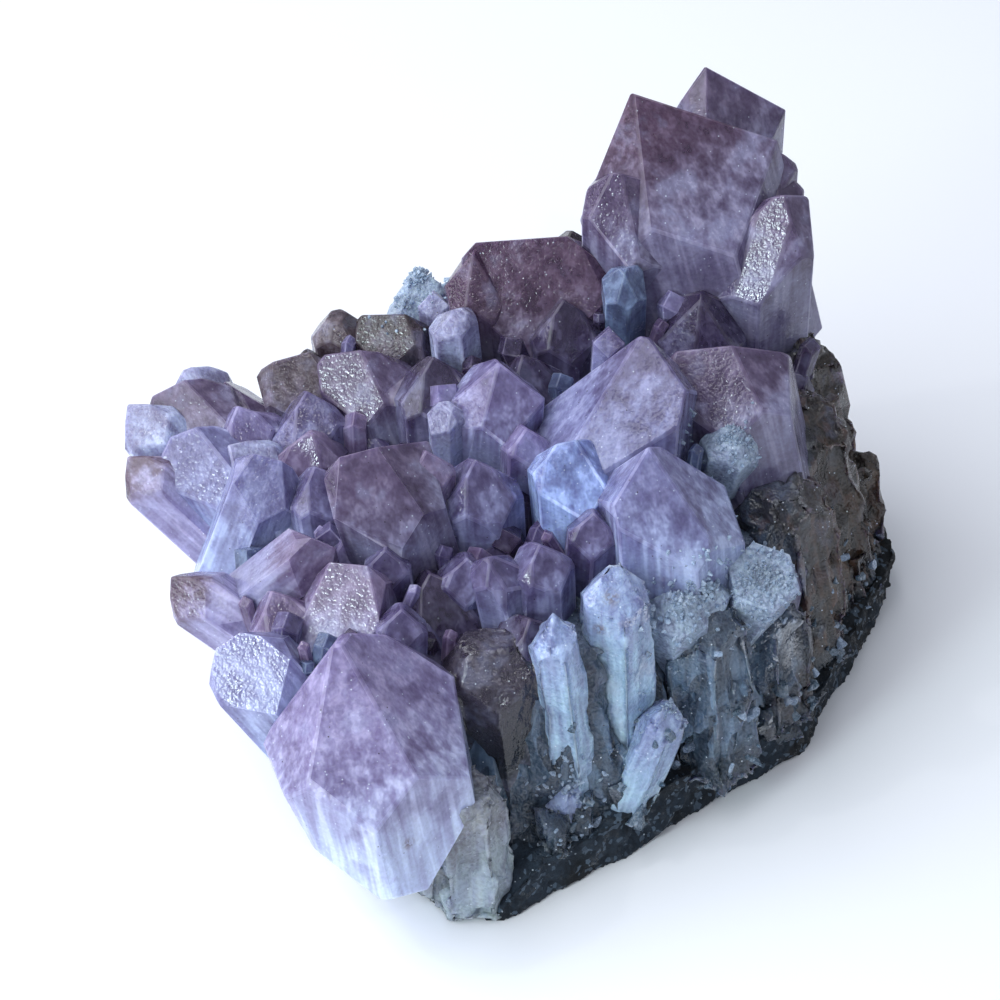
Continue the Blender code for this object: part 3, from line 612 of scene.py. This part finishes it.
def paint_druse():
    """Sugary white quartz: small bright points and broken bits."""
    paint = Paint("druse")
    place = paint.place_mm()
    patch = paint.noise(place, 0.12, 3.0, 0.6)
    grain = paint.noise(place, 1.4, 3.0, 0.6)
    tint = paint.attribute("root_tint", "Color")
    tint = paint.mix(patch.ramp(0.35, 0.65) * 0.5, tint, tint * (0.6, 0.66, 0.7))
    tint = paint.mix(grain.ramp(0.5, 0.7) * 0.5, tint, daylight(205, 218, 236))
    film = paint.noise(place, 0.22, 4.0, 0.65).ramp(0.6, 0.72)
    tint = paint.mix(film * 0.35, tint, daylight(96, 74, 50))
    shine = grain.ramp(0.3, 0.7, 0.08, 0.45)
    normal = paint.bump(grain, 0.12 * MM, 0.6)
    clear = paint.node(
        "ShaderNodeBsdfPrincipled",
        {},
        {
            "Base Color": paint.mix(0.5, tint, (1.0, 1.0, 1.0)),
            "Roughness": shine,
            "IOR": 1.54,
            "Transmission Weight": 1.0,
            "Normal": normal,
        },
    )
    white = paint.node(
        "ShaderNodeBsdfPrincipled",
        {},
        {
            "Base Color": tint,
            "Roughness": shine,
            "IOR": 1.54,
            "Subsurface Weight": 0.3,
            "Subsurface Radius": (1.0, 1.0, 1.1),
            "Subsurface Scale": 0.8 * MM,
            "Normal": normal,
        },
    )
    body = paint.node("ShaderNodeMixShader", {}, {0: patch.ramp(0.3, 0.7, 0.45, 0.9), 1: clear, 2: white})
    return paint.finish(body)


def paint_rock():
    """The rind: near-black granular rock with bluish and brown patches, pale flecks and small glints."""
    paint = Paint("matrix_rock")
    place = paint.place_mm()
    patch = paint.noise(place, 0.07, 4.0, 0.6)
    grit = paint.noise(place, 0.9, 5.0, 0.7)
    fine = paint.noise(place, 3.2, 3.0, 0.6)
    tint = paint.mix(patch.ramp(0.38, 0.62), daylight(14, 20, 25), daylight(34, 47, 60))
    tint = paint.mix(grit.ramp(0.45, 0.65) * 0.7, tint, tint * (0.35, 0.38, 0.42))
    rusty = paint.noise(place, 0.09, 3.0, 0.6).ramp(0.56, 0.68) * place.part("X").ramp(20.0, 60.0, 0.15, 0.7)
    tint = paint.mix(rusty, tint, daylight(52, 40, 28))
    grains = paint.cells(place, 1.3, "Color")
    bright = grains.part("X").ramp(0.8, 0.9)
    tint = paint.mix(bright * 0.45, tint, daylight(104, 124, 144))
    flecks = paint.cells(place, 0.8).ramp(0.16, 0.1)
    tint = paint.mix(flecks * grit.ramp(0.5, 0.6) * 0.9, tint, daylight(196, 208, 220))
    glint = grains.part("Y").ramp(0.86, 0.9)
    relief = grit * 1.5 + fine * 0.6 + grains.part("Z") * 0.5
    normal = paint.bump(relief, 0.28 * MM, 0.9)
    rock = paint.node(
        "ShaderNodeBsdfPrincipled",
        {},
        {
            "Base Color": tint,
            "Roughness": paint.arithmetic("MAXIMUM", 0.78 - glint * 0.6 - bright * 0.25, 0.12),
            "IOR": 1.54,
            "Specular IOR Level": 0.35,
            "Normal": normal,
        },
    )
    return paint.finish(rock)


def paint_floor():
    paint = Paint("pale_floor")
    place = paint.place_mm()
    soft = paint.noise(place, 0.004, 2.0, 0.5)
    tint = paint.mix(soft, daylight(238, 239, 242), daylight(244, 245, 248))
    return paint.finish(
        paint.node("ShaderNodeBsdfPrincipled", {}, {"Base Color": tint, "Roughness": 0.9, "Specular IOR Level": 0.1})
    )


def cut_by_plane(bm, point, normal):
    """Takes off what lies beyond the plane, and closes the cut with one flat face."""
    everything = bm.verts[:] + bm.edges[:] + bm.faces[:]
    bmesh.ops.bisect_plane(bm, geom=everything, plane_co=point, plane_no=normal, clear_outer=True, dist=1e-6)
    rim = [side for side in bm.edges if side.is_boundary]
    if rim:
        bmesh.ops.holes_fill(bm, edges=rim)


def crystal_frame(crystal):
    """From the crystal's own axes to the object's: Z along the crystal, X level and to the right."""
    tip = Vector(crystal.tip) * MM
    along = (tip - Vector(crystal.foot) * MM).normalized()
    right = Vector((0, 1, 0)).cross(along).normalized()
    back = along.cross(right)
    return Matrix.Translation(tip) @ Matrix((right, back, along)).transposed().to_4x4()


def end_face_normal(crystal, side):
    angle = -math.pi / 2 + math.radians(crystal.turn) + side * math.tau / PRISM_SIDES
    level = math.cos(END_FACE_ANGLE)
    return Vector((math.cos(angle) * level, math.sin(angle) * level, math.sin(END_FACE_ANGLE)))


def cut_crystal(crystal):
    """A six-sided prism under its tip, cut by the six sloping end faces and by its breaks, in its own axes."""
    length = (Vector(crystal.tip) - Vector(crystal.foot)).length * MM
    corner_radius = crystal.across / 2 / math.cos(math.pi / PRISM_SIDES) * MM
    bm = bmesh.new()
    bmesh.ops.create_cone(
        bm, cap_ends=True, segments=PRISM_SIDES, radius1=corner_radius, radius2=corner_radius, depth=length
    )
    bmesh.ops.translate(bm, verts=bm.verts, vec=(0, 0, -length / 2))
    corner = -math.pi / 2 + math.radians(crystal.turn) + math.pi / PRISM_SIDES
    bmesh.ops.rotate(bm, verts=bm.verts, matrix=Matrix.Rotation(corner, 3, "Z"))
    bmesh.ops.translate(bm, verts=bm.verts, vec=Vector((crystal.belly[0], -crystal.belly[1], 0)) * MM)
    for side in range(PRISM_SIDES):
        normal = end_face_normal(crystal, side)
        cut_by_plane(bm, normal * crystal.trims[side] * MM, normal)
    inward = crystal_frame(crystal).inverted()
    for point, facing in crystal.breaks:
        cut_by_plane(bm, inward @ (Vector(point) * MM), inward.to_3x3() @ Vector(facing))
    lowest = 0.0 if crystal.name.startswith(BARE_CORNER) else QUARTZ_FOOT
    cut_by_plane(bm, inward @ (Vector((0, 0, lowest)) * MM), inward.to_3x3() @ Vector((0, 0, -1)))
    return bm


def chip_edges(bm, draw):
    """Small flat nicks along the sharp edges."""
    bm.normal_update()
    edges = [e for e in bm.edges if e.is_manifold and e.calc_length() > 2.5 * MM and e.calc_face_angle_signed() > 0.2]
    cuts = []
    for side in edges:
        chance = side.calc_length() / MM / CHIP_SPACING
        near_tip = max(v.co.z for v in side.verts) > -CHIP_FREE_TIP * MM
        if draw.random() > chance or near_tip:
            continue
        a, b = (v.co for v in side.verts)
        spot = a.lerp(b, draw.uniform(0.08, 0.92))
        facing = (side.link_faces[0].normal + side.link_faces[1].normal).normalized()
        tilt = Vector((draw.uniform(-1, 1), draw.uniform(-1, 1), draw.uniform(-1, 1))) * 0.35
        cuts.append((spot - facing * draw.uniform(*CHIP_DEPTH) * MM, (facing + tilt).normalized()))
    for point, normal in cuts:
        deepest = max((v.co - point).dot(normal) for v in bm.verts)
        if deepest < CHIP_LIMIT * MM:
            cut_by_plane(bm, point, normal)


def slice_finely(bm):
    """Cuts a rough piece into small faces, along and across."""
    for axis, pitch in ((0, SLICE_ACROSS), (1, SLICE_ACROSS), (2, SLICE_ALONG)):
        normal = Vector([float(axis == k) for k in range(3)])
        low = min(v.co[axis] for v in bm.verts)
        high = max(v.co[axis] for v in bm.verts)
        count = int((high - low) / (pitch * MM))
        for number in range(1, count + 1):
            place = low + (high - low) * number / (count + 1)
            everything = bm.verts[:] + bm.edges[:] + bm.faces[:]
            bmesh.ops.bisect_plane(bm, geom=everything, plane_co=normal * place, plane_no=normal, dist=1e-7)
    bmesh.ops.triangulate(bm, faces=bm.faces[:])


def roughen(bm, depth, seed):
    """Shards and grain, all cut inwards from the piece's plain form."""
    bm.normal_update()
    moves = []
    for vert in bm.verts:
        amount = max(0.0, shard_depth(vert.co / MM, seed)) / SHARD_DEPTH
        moves.append((vert, vert.normal * amount * depth * MM))
    for vert, move in moves:
        vert.co -= move


def mark_loops(bm, home, look, seed, broken):
    """Writes on each corner what the finish needs: the place in the crystal's axes, its colours, its wear, and its
    bevelled edges, which get a painted highlight.
    """
    layers = bm.loops.layers
    local = layers.float_vector.new("local")
    tip_tint = layers.float_color.new("tip_tint")
    root_tint = layers.float_color.new("root_tint")
    zone = layers.float_vector.new("zone")
    finish = layers.float_vector.new("finish")
    surface = layers.float_vector.new("surface")
    edge = bm.faces.layers.int["edge"]
    inward = home.inverted()
    tip_colour = (*(part * gain for part, gain in zip(daylight(*look.tip), TINT_GAIN)), 1.0)
    root_colour = (*(part * gain for part, gain in zip(daylight(*look.root), TINT_GAIN)), 1.0)
    for face in bm.faces:
        steep = abs((inward.to_3x3() @ face.normal).z)
        prism = 1.0 if steep < 0.25 and broken == 0 else 0.0
        for loop in face.loops:
            loop[local] = (inward @ loop.vert.co) / MM
            loop[tip_tint] = tip_colour
            loop[root_tint] = root_colour
            loop[zone] = (look.start, look.depth, look.cloud)
            loop[finish] = (look.frost, look.stain, seed)
            loop[surface] = (prism, float(face[edge]), broken)


def object_from(bm, name, collection):
    mesh = bpy.data.meshes.new(name)
    bm.to_mesh(mesh)
    bm.free()
    obj = bpy.data.objects.new(name, mesh)
    collection.objects.link(obj)
    return obj


def grow(crystal, look, draw, collection, plain=False):
    """One finished crystal, with chipped and worn edges that carry a painted highlight, or a broken surface, ready to
    be grown together.
    """
    seed = draw.uniform(0, 10)
    bm = cut_crystal(crystal)
    edge = bm.faces.layers.int.new("edge")
    if look.rough > 0:
        slice_finely(bm)
        roughen(bm, look.rough, seed)
        for face in bm.faces:
            face.smooth = True
    else:
        width = (SMALL_EDGE_WIDTH if crystal.across < SMALL_CRYSTAL else EDGE_WIDTH) * MM
        worn_and_highlit = bmesh.ops.bevel(
            bm, geom=bm.edges[:], offset=width, offset_type="OFFSET", segments=2, profile=0.5, affect="EDGES",
            clamp_overlap=True,
        )
        # The bevel faces are marked: the finish makes them rougher and gives them a painted highlight.
        for face in worn_and_highlit["faces"]:
            face[edge] = 1
            face.smooth = True
        if not plain:
            chip_edges(bm, draw)
    own = crystal_frame(crystal)
    bmesh.ops.transform(bm, verts=bm.verts, matrix=own)
    bmesh.ops.recalc_face_normals(bm, faces=bm.faces)
    bm.normal_update()
    broken = 0.0 if look.rough == 0 else 1.0 if crystal.name in WALL_PIECES or "blade" in crystal.name else 0.35
    mark_loops(bm, own, look, seed, broken)
    return object_from(bm, crystal.name, collection)


def bed_shafts():
    """Wide shafts side by side, leaning out a little, whose blunt ends carry the points."""
    draw = random.Random(11)
    for number, (x, y) in enumerate(BED_SHAFTS):
        top = BED_TOP + draw.uniform(-2.0, 2.5)
        foot = (x - (x - BED_HUDDLE[0]) * BED_FAN, y - (y - BED_HUDDLE[1]) * BED_FAN, BED_FOOT)
        trims = tuple(draw.uniform(4.0, 7.0) for _ in range(PRISM_SIDES))
        across = BED_ACROSS + draw.uniform(-2.0, 2.0)
        yield Crystal(f"bed_shaft_{number}", (x, y, top), foot, across, draw.uniform(0, 60), (0, 0), trims)


def filler_points():
    """Small points over the top of the bed, one to each cell of a shaken grid."""
    draw = random.Random(23)
    reach_x, reach_y = FILLER_REACH
    columns = int(reach_x // FILLER_PITCH)
    rows = int(reach_y // FILLER_PITCH)
    for column in range(-columns, columns + 1):
        for row in range(-rows, rows + 1):
            x = column * FILLER_PITCH + draw.uniform(-2.5, 2.5)
            y = row * FILLER_PITCH + draw.uniform(-2.5, 2.5)
            tip = FILLER_TIP + draw.uniform(-3.0, 4.0)
            across = draw.uniform(*FILLER_ACROSS)
            turn = draw.uniform(0, 60)
            lean_x = FILLER_LEAN * (x / reach_x + draw.uniform(-0.7, 0.7)) * (tip - FILLER_FOOT)
            lean_y = FILLER_LEAN * (y / reach_y + draw.uniform(-0.7, 0.7)) * (tip - FILLER_FOOT)
            cell = (column + columns, row + rows)
            off_the_top = (x / reach_x) ** 2 + (y / reach_y) ** 2 > 1 or 0.9 * x - y > WALL_CLEARANCE
            if off_the_top or cell in FILLER_GAPS:
                continue
            name = f"filler_{cell[0]}_{cell[1]}"
            yield Crystal(name, (x, y, tip), (x - lean_x, y - lean_y, FILLER_FOOT), across, turn)


def back_row_points():
    """Points that lean out over the rim at the back and the left, where the photograph doesn't reach."""
    draw = random.Random(5)
    for number, degrees in enumerate(BACK_ROW_ANGLES):
        for tier in range(2):
            angle = math.radians(degrees + draw.uniform(-5, 5) + tier * 7)
            out = 1.0 - 0.1 * tier + draw.uniform(-0.04, 0.04)
            x = BACK_ROW_RADII[0] * out * math.cos(angle)
            y = BACK_ROW_RADII[1] * out * math.sin(angle) + 7
            tip = BACK_ROW_TIP - 13 * (1 - tier) + draw.uniform(-3, 4)
            foot = (x * 0.66, y * 0.66, tip - 17 - 4 * tier)
            across = draw.uniform(9.0, 13.0)
            yield Crystal(f"back_row_{number}_{tier}", (x, y, tip), foot, across, draw.uniform(0, 60))


def skirt_points():
    """Low leaning shafts, one at each corner of the rind's hidden edge and one between each two."""
    draw = random.Random(8)
    for number, (here, after) in enumerate(zip(SKIRT_EDGE, SKIRT_EDGE[1:])):
        for share in (0.0, 0.5):
            x = here[0] + (after[0] - here[0]) * share
            y = here[1] + (after[1] - here[1]) * share
            tip = (x * SKIRT_TIP_SCALE, y * SKIRT_TIP_SCALE, SKIRT_TIP + draw.uniform(-5, 5))
            foot = (x * SKIRT_FOOT_SCALE, y * SKIRT_FOOT_SCALE, BED_FOOT)
            across = draw.uniform(*SKIRT_ACROSS)
            yield Crystal(f"skirt_{number}_{round(2 * share)}", tip, foot, across, draw.uniform(0, 60))


def wall_blades():
    """Broken splinters side by side along the foot of the wall, leaning as its columns do."""
    draw = random.Random(61)
    edge = [Vector(spot) for spot in BLADE_EDGE]
    for number in range(BLADE_COUNT):
        place = draw.uniform(0, len(edge) - 1.001)
        here = edge[int(place)].lerp(edge[int(place) + 1], place % 1)
        height = draw.uniform(*BLADE_HEIGHT)
        inset = draw.uniform(*BLADE_INSET)
        foot = here * inset
        tip = here * (inset - BLADE_SLOPE * height) + Vector((draw.uniform(-3, 3), draw.uniform(-1, 1)))
        trims = tuple(draw.choice((0.0, 1.0, 3.0, 5.0)) for _ in range(PRISM_SIDES))
        name = f"blade_{'smoky' if here.y > -8 else 'blue'}_{number}"
        across = draw.uniform(*BLADE_ACROSS)
        yield Crystal(name, (*tip, QUARTZ_FOOT + height), (*foot, 2.0), across, draw.uniform(0, 60), (0, 0), trims)


def shard_depth(place, seed):
    """How deep a broken surface lies at a place: flat tilted shards, longer along the crystals than across."""
    spot = Vector((place.x, place.y, place.z * 0.45)) / SHARD_PITCH + Vector((seed, seed * 0.7, 0))
    centre = noise.voronoi(spot)[1][0]
    tilt = noise.noise_vector(centre * 5.3)
    rise = noise.noise(centre * 3.1)
    swell = noise.noise(place * 0.11)
    grain = noise.noise(place * 0.9) * 0.14
    return (0.5 + (spot - centre).dot(tilt) * 1.6 + rise * 0.8 + swell * 0.6 + grain) * SHARD_DEPTH


def add_wall(collection):
    """The broken mass between the columns: a sheet of shards along the rind, closed behind."""
    corners = [Vector(spot) for spot in WALL_EDGE]
    spots = []
    for here, after in zip(corners, corners[1:]):
        count = max(int((after - here).length / WALL_PITCH), 1)
        spots += [here.lerp(after, step / count) for step in range(count)]
    levels = int((WALL_HIGH - WALL_LOW) / WALL_PITCH)
    bm = bmesh.new()
    edge = bm.faces.layers.int.new("edge")
    ribs = []
    for number, spot in enumerate(spots):
        end = min(number, len(spots) - 1 - number) / 14
        dent = WALL_DENT * (1 - min(end, 1.0))
        rib = []
        for step in range(levels + 1):
            share = step / levels
            level = WALL_LOW + (WALL_HIGH - WALL_LOW) * share
            flat = spot * (WALL_INSET_LOW + (WALL_INSET_HIGH - WALL_INSET_LOW) * share - dent)
            place = Vector((flat.x, flat.y, level))
            flat -= flat.normalized() * shard_depth(place, 1.0)
            rib.append(bm.verts.new(Vector((flat.x, flat.y, level)) * MM))
        for level in (WALL_HIGH, WALL_LOW):
            rib.append(bm.verts.new(Vector((*(spot * WALL_INSET_BACK), level)) * MM))
        ribs.append(rib)
    for one, other in zip(ribs, ribs[1:]):
        for i in range(len(one)):
            j = (i + 1) % len(one)
            bm.faces.new((one[i], other[i], other[j], one[j])).smooth = True
    bm.faces.new(ribs[0])
    bm.faces.new(list(reversed(ribs[-1])))
    for face in bm.faces:
        face[edge] = 0
    bmesh.ops.triangulate(bm, faces=bm.faces[:])
    bmesh.ops.recalc_face_normals(bm, faces=bm.faces)
    bm.normal_update()
    mark_loops(bm, Matrix.Translation(Vector((0, 0, BED_TOP)) * MM), LOOKS["blue_wall"], 2.0, 1.0)
    return object_from(bm, "wall", collection)


def add_heart(collection):
    """The solid quartz at the middle of the bed, in the near-black cavity colours: painted shade where it shows
    between the shafts.
    """
    bm = bmesh.new()
    edge = bm.faces.layers.int.new("edge")
    rings = []
    for scale, shift, level in (
        (HEART_FOOT_SCALE, (0, 0), HEART_FOOT),
        (HEART_TOP_SCALE, HEART_TOP_SHIFT, HEART_TOP),
    ):
        spots = [(x * scale + shift[0], y * scale + shift[1], level) for x, y in ROCK_OUTLINE]
        rings.append([bm.verts.new(Vector(spot) * MM) for spot in spots])
    lower, upper = rings
    for i in range(len(lower)):
        j = (i + 1) % len(lower)
        bm.faces.new((lower[i], lower[j], upper[j], upper[i]))
    bm.faces.new(list(reversed(lower)))
    bm.faces.new(upper)
    for face in bm.faces:
        face[edge] = 0
    bmesh.ops.recalc_face_normals(bm, faces=bm.faces)
    bm.normal_update()
    # Painted shade: the dark cavity colours make the gaps between the shafts look shaded.
    mark_loops(bm, Matrix.Translation(Vector((0, 0, BED_TOP)) * MM), LOOKS["cavity"], 3.0, 1.0)
    return object_from(bm, "heart", collection)


def look_of(crystal, draw):
    """The named crystal's look, or for a nameless one a look like its neighbours'."""
    if crystal.name in LOOK_OF:
        return LOOKS[LOOK_OF[crystal.name]]
    if crystal.name.startswith(("bed", "skirt")):
        return LOOKS["bed"]
    if crystal.name.startswith("knot"):
        return LOOKS["bed"]
    if crystal.name.startswith("blade"):
        return LOOKS[crystal.name.split("_")[1] + "_wall"]
    x, y, _ = crystal.tip
    pool = ("violet", "lilac", "night", "violet", "mauve") if x > -25 else ("lilac", "mauve", "pale", "milk", "rust")
    return LOOKS[draw.choice(pool)]


def grown_together(base, group, name):
    """One closed solid out of the base and everything in the group."""
    modifier = base.modifiers.new("grow_together", "BOOLEAN")
    modifier.operation = "UNION"
    modifier.solver = "MANIFOLD"
    modifier.operand_type = "COLLECTION"
    modifier.collection = group
    bpy.context.view_layer.update()
    evaluated = base.evaluated_get(bpy.context.evaluated_depsgraph_get())
    mesh = bpy.data.meshes.new_from_object(evaluated)
    mesh.name = name
    joined = bpy.data.objects.new(name, mesh)
    bpy.context.scene.collection.objects.link(joined)
    for obj in list(group.objects) + [base]:
        bpy.data.meshes.remove(obj.data)
    return joined


def workshop():
    made = bpy.data.collections.new("workshop")
    bpy.context.scene.collection.children.link(made)
    return made


def tree_of(obj):
    bm = bmesh.new()
    bm.from_mesh(obj.data)
    tree = BVHTree.FromBMesh(bm)
    bm.free()
    return tree


def crevice_points(tree):
    """Little points in the hollows between the large ones, found by looking straight down."""
    draw = random.Random(31)
    for number in range(CREVICE_TRIES):
        x, y = draw.uniform(-60, 52), draw.uniform(-46, 48)
        lean = Vector((draw.uniform(-0.5, 0.5), draw.uniform(-0.6, 0.3), 1)).normalized()
        across, length = draw.uniform(*CREVICE_ACROSS), draw.uniform(*CREVICE_LENGTH)
        turn, look = draw.uniform(0, 60), draw.choice(("violet", "lilac", "mauve", "night", "night", "slate"))
        hit, normal, _, _ = tree.ray_cast(Vector((x, y, 120)) * MM, Vector((0, 0, -1)))
        if hit is None or 0.9 * x - y > WALL_CLEARANCE + 8:
            continue
        ring = [Vector((math.cos(a), math.sin(a), 0)) * 7 * MM for a in (0, 1.57, 3.14, 4.71)]
        around = [tree.ray_cast(hit + step + Vector((0, 0, 0.1)), Vector((0, 0, -1)))[0] for step in ring]
        higher = [spot.z - hit.z for spot in around if spot is not None]
        if len(higher) < 3 or sum(higher) / len(higher) < CREVICE_DEPTH * MM or hit.z < 30 * MM:
            continue
        spot = hit / MM
        tip = tuple(spot + lean * length * 0.6)
        yield Crystal(f"crevice_{number}", tip, tuple(spot - lean * length * 0.5), across, turn), LOOKS[look]


def build_points():
    """All the quartz: the named crystals, the bed, the small points between them, grown into one solid."""
    group = workshop()
    draw = random.Random(41)
    heart = add_heart(bpy.context.scene.collection)
    add_wall(group)
    named = TALL_BACK_GROUP + BACK_MIDDLE_GROUP + LEFT_FLANK + CENTRE_GROUP + BROKEN_WALL + HIDDEN_KNOTS
    others = list(bed_shafts()) + list(filler_points()) + list(back_row_points()) + list(skirt_points())
    others += list(wall_blades())
    for crystal in named + others:
        look = look_of(crystal, draw)
        grow(crystal, look, draw, group, plain=crystal.name.startswith(("bed", "knot")))
    first = grown_together(heart, group, "first_points")
    tree = tree_of(first)
    for crystal, look in crevice_points(tree):
        grow(crystal, look, draw, group)
    points = grown_together(first, group, "quartz_points")
    bpy.data.collections.remove(group)
    return points


def add_grain(bm, spot, along, size, draw, tint, layer):
    """A tiny six-sided point, or a broken bit of one, set into whatever is at the spot."""
    axis = along.normalized()
    turned = axis.to_track_quat("Z", "Y").to_matrix().to_4x4() @ Matrix.Rotation(draw.uniform(0, 3), 4, "Z")
    shape = Matrix.Diagonal((size, size * draw.uniform(0.7, 1.0), size * draw.uniform(0.6, 1.3), 1))
    made = bmesh.ops.create_cone(
        bm, cap_ends=True, segments=6, radius1=0.5 * MM, radius2=draw.choice((0.06, 0.12, 0.3)) * MM, depth=1.0 * MM,
        matrix=Matrix.Translation(spot) @ turned @ shape,
    )
    faces = {face for vert in made["verts"] for face in vert.link_faces}
    for face in faces:
        for loop in face.loops:
            loop[layer] = tint


def build_druse(tree):
    """Sugary quartz on the frosted crystals, and rubble where the wall meets the rind."""
    draw = random.Random(53)
    bm = bmesh.new()
    layer = bm.loops.layers.float_color.new("root_tint")
    pale = (*daylight(168, 186, 210), 1.0)
    grey = (*daylight(96, 116, 134), 1.0)
    for crystal in BROKEN_WALL + CENTRE_GROUP + BACK_MIDDLE_GROUP + LEFT_FLANK:
        if crystal.name not in DRUSY:
            continue
        count, size = DRUSY[crystal.name]
        home = crystal_frame(crystal)
        centre = home @ (Vector((crystal.belly[0], -crystal.belly[1], -crystal.across * 0.3)) * MM)
        for _ in range(count):
            away = Vector((draw.gauss(0, 1), draw.gauss(0, 1) - 0.4, draw.gauss(0, 1) + 0.6)).normalized()
            start = centre + away * crystal.across * 1.1 * MM
            hit, normal, _, gap = tree.ray_cast(start, -away, crystal.across * 1.3 * MM)
            grown = draw.uniform(*size)
            tilt = Vector((draw.uniform(-1, 1), draw.uniform(-1, 1), draw.uniform(-1, 1))) * 0.5
            if hit is not None:
                add_grain(bm, hit, normal + tilt, grown, draw, pale, layer)
    edge = [Vector(spot) for spot in ROCK_OUTLINE[2:17]]
    for _ in range(RUBBLE_COUNT):
        place = draw.uniform(0, len(edge) - 1.001)
        here = edge[int(place)].lerp(edge[int(place) + 1], place % 1)
        level = 9.5 + abs(draw.gauss(0, 1)) * 7.0
        start = Vector((here.x, here.y, level)) * MM * 1.0
        start.xy = start.xy * 1.25
        toward = Vector((-here.x + 10, -here.y, draw.uniform(-25, 10))).normalized()
        hit, normal, _, gap = tree.ray_cast(start, toward)
        size = draw.uniform(*RUBBLE_SIZE) * (1.5 if draw.random() < 0.15 else 1.0)
        tilt = Vector((draw.uniform(-1, 1), draw.uniform(-1, 1), draw.uniform(-0.3, 1.6)))
        if hit is not None and hit.z > 7 * MM and (hit.xy - Vector((here.x, here.y)) * MM).length < 24 * MM:
            add_grain(bm, hit, normal * 0.8 + tilt, size, draw, pale if draw.random() < 0.3 else grey, layer)
    bmesh.ops.recalc_face_normals(bm, faces=bm.faces)
    return object_from(bm, "druse", bpy.context.scene.collection)


def build_rock():
    """The rind, from the frame's solid: evened out, then bitten into by coarse and fine granular relief."""
    source = frame["nodes"]["matrix_rock"]
    rock = bpy.data.objects.new("rind_rock", source.data.copy())
    rock.data.materials.clear()
    bpy.context.scene.collection.objects.link(rock)
    remesh = rock.modifiers.new("even_out", "REMESH")
    remesh.mode = "VOXEL"
    remesh.voxel_size = ROCK_VOXEL * MM
    bpy.context.view_layer.update()
    even = bpy.data.meshes.new_from_object(rock.evaluated_get(bpy.context.evaluated_depsgraph_get()))
    rock.modifiers.clear()
    rock.data = even
    bm = bmesh.new()
    bm.from_mesh(even)
    bm.normal_update()
    moves = []
    for vert in bm.verts:
        place = vert.co / MM
        lump = abs(noise.noise(place * 0.16)) * 1.6 + noise.voronoi(place * 0.3)[0][0] * 1.5
        grit = abs(noise.noise(place * 0.8)) * 1.0
        held = min(max((place.z - 0.2) / 1.2, 0.0), 1.0)
        moves.append((vert, vert.normal * (lump + grit) * held * MM))
    for vert, move in moves:
        vert.co -= move
    low = CAD_BOX[0][2]
    for vert in bm.verts:
        vert.co.z = max(vert.co.z, low)
    for face in bm.faces:
        face.smooth = True
    bm.to_mesh(even)
    bm.free()
    return rock


def look_at(obj, target):
    obj.rotation_mode = "QUATERNION"
    obj.rotation_quaternion = (target - obj.location).to_track_quat("-Z", "Y")


def add_light(name, place, size, power, colour, target=TARGET):
    lamp = bpy.data.lights.new(name, "AREA")
    lamp.shape = "RECTANGLE"
    lamp.size, lamp.size_y = (part * MM for part in size)
    lamp.energy = power
    lamp.color = colour
    obj = bpy.data.objects.new(name, lamp)
    obj.location = Vector(place) * MM
    bpy.context.scene.collection.objects.link(obj)
    look_at(obj, target)
    return obj


def add_camera():
    lens = bpy.data.cameras.new("camera")
    lens.lens = LENS_MM
    lens.sensor_width = SENSOR_MM
    lens.shift_x = -(TARGET_PIXEL_X - PICTURE_WIDTH / 2) / PICTURE_WIDTH
    lens.clip_start = 10 * MM
    camera = bpy.data.objects.new("camera", lens)
    back = Vector((0, -math.cos(CAMERA_HEIGHT_ANGLE), math.sin(CAMERA_HEIGHT_ANGLE)))
    camera.location = TARGET + back * CAMERA_DISTANCE
    bpy.context.scene.collection.objects.link(camera)
    look_at(camera, TARGET)
    bpy.context.scene.camera = camera


def add_floor():
    bm = bmesh.new()
    bmesh.ops.create_grid(bm, x_segments=2, y_segments=2, size=1.5)
    floor = object_from(bm, "pale_floor", bpy.context.scene.collection)
    floor.data.materials.append(paint_floor())


def add_sky():
    world = bpy.data.worlds.new("studio")
    world.use_nodes = True
    world.node_tree.nodes["Background"].inputs["Color"].default_value = (*SKY_COLOUR, 1.0)
    world.node_tree.nodes["Background"].inputs["Strength"].default_value = SKY_STRENGTH
    bpy.context.scene.world = world


def main():
    bpy.context.scene.view_settings.view_transform = "Standard"
    add_camera()
    add_floor()
    add_sky()
    for light in LIGHTS:
        add_light(*light)

    points = build_points()
    points.data.materials.clear()
    points.data.materials.append(paint_amethyst())
    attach(points, "root")
    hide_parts("amethyst_crystals")

    druse = build_druse(tree_of(points))
    druse.data.materials.append(paint_druse())
    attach(druse, "root")

    rock = build_rock()
    rock.data.materials.append(paint_rock())
    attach(rock, "root")
    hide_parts("matrix_rock")


main()
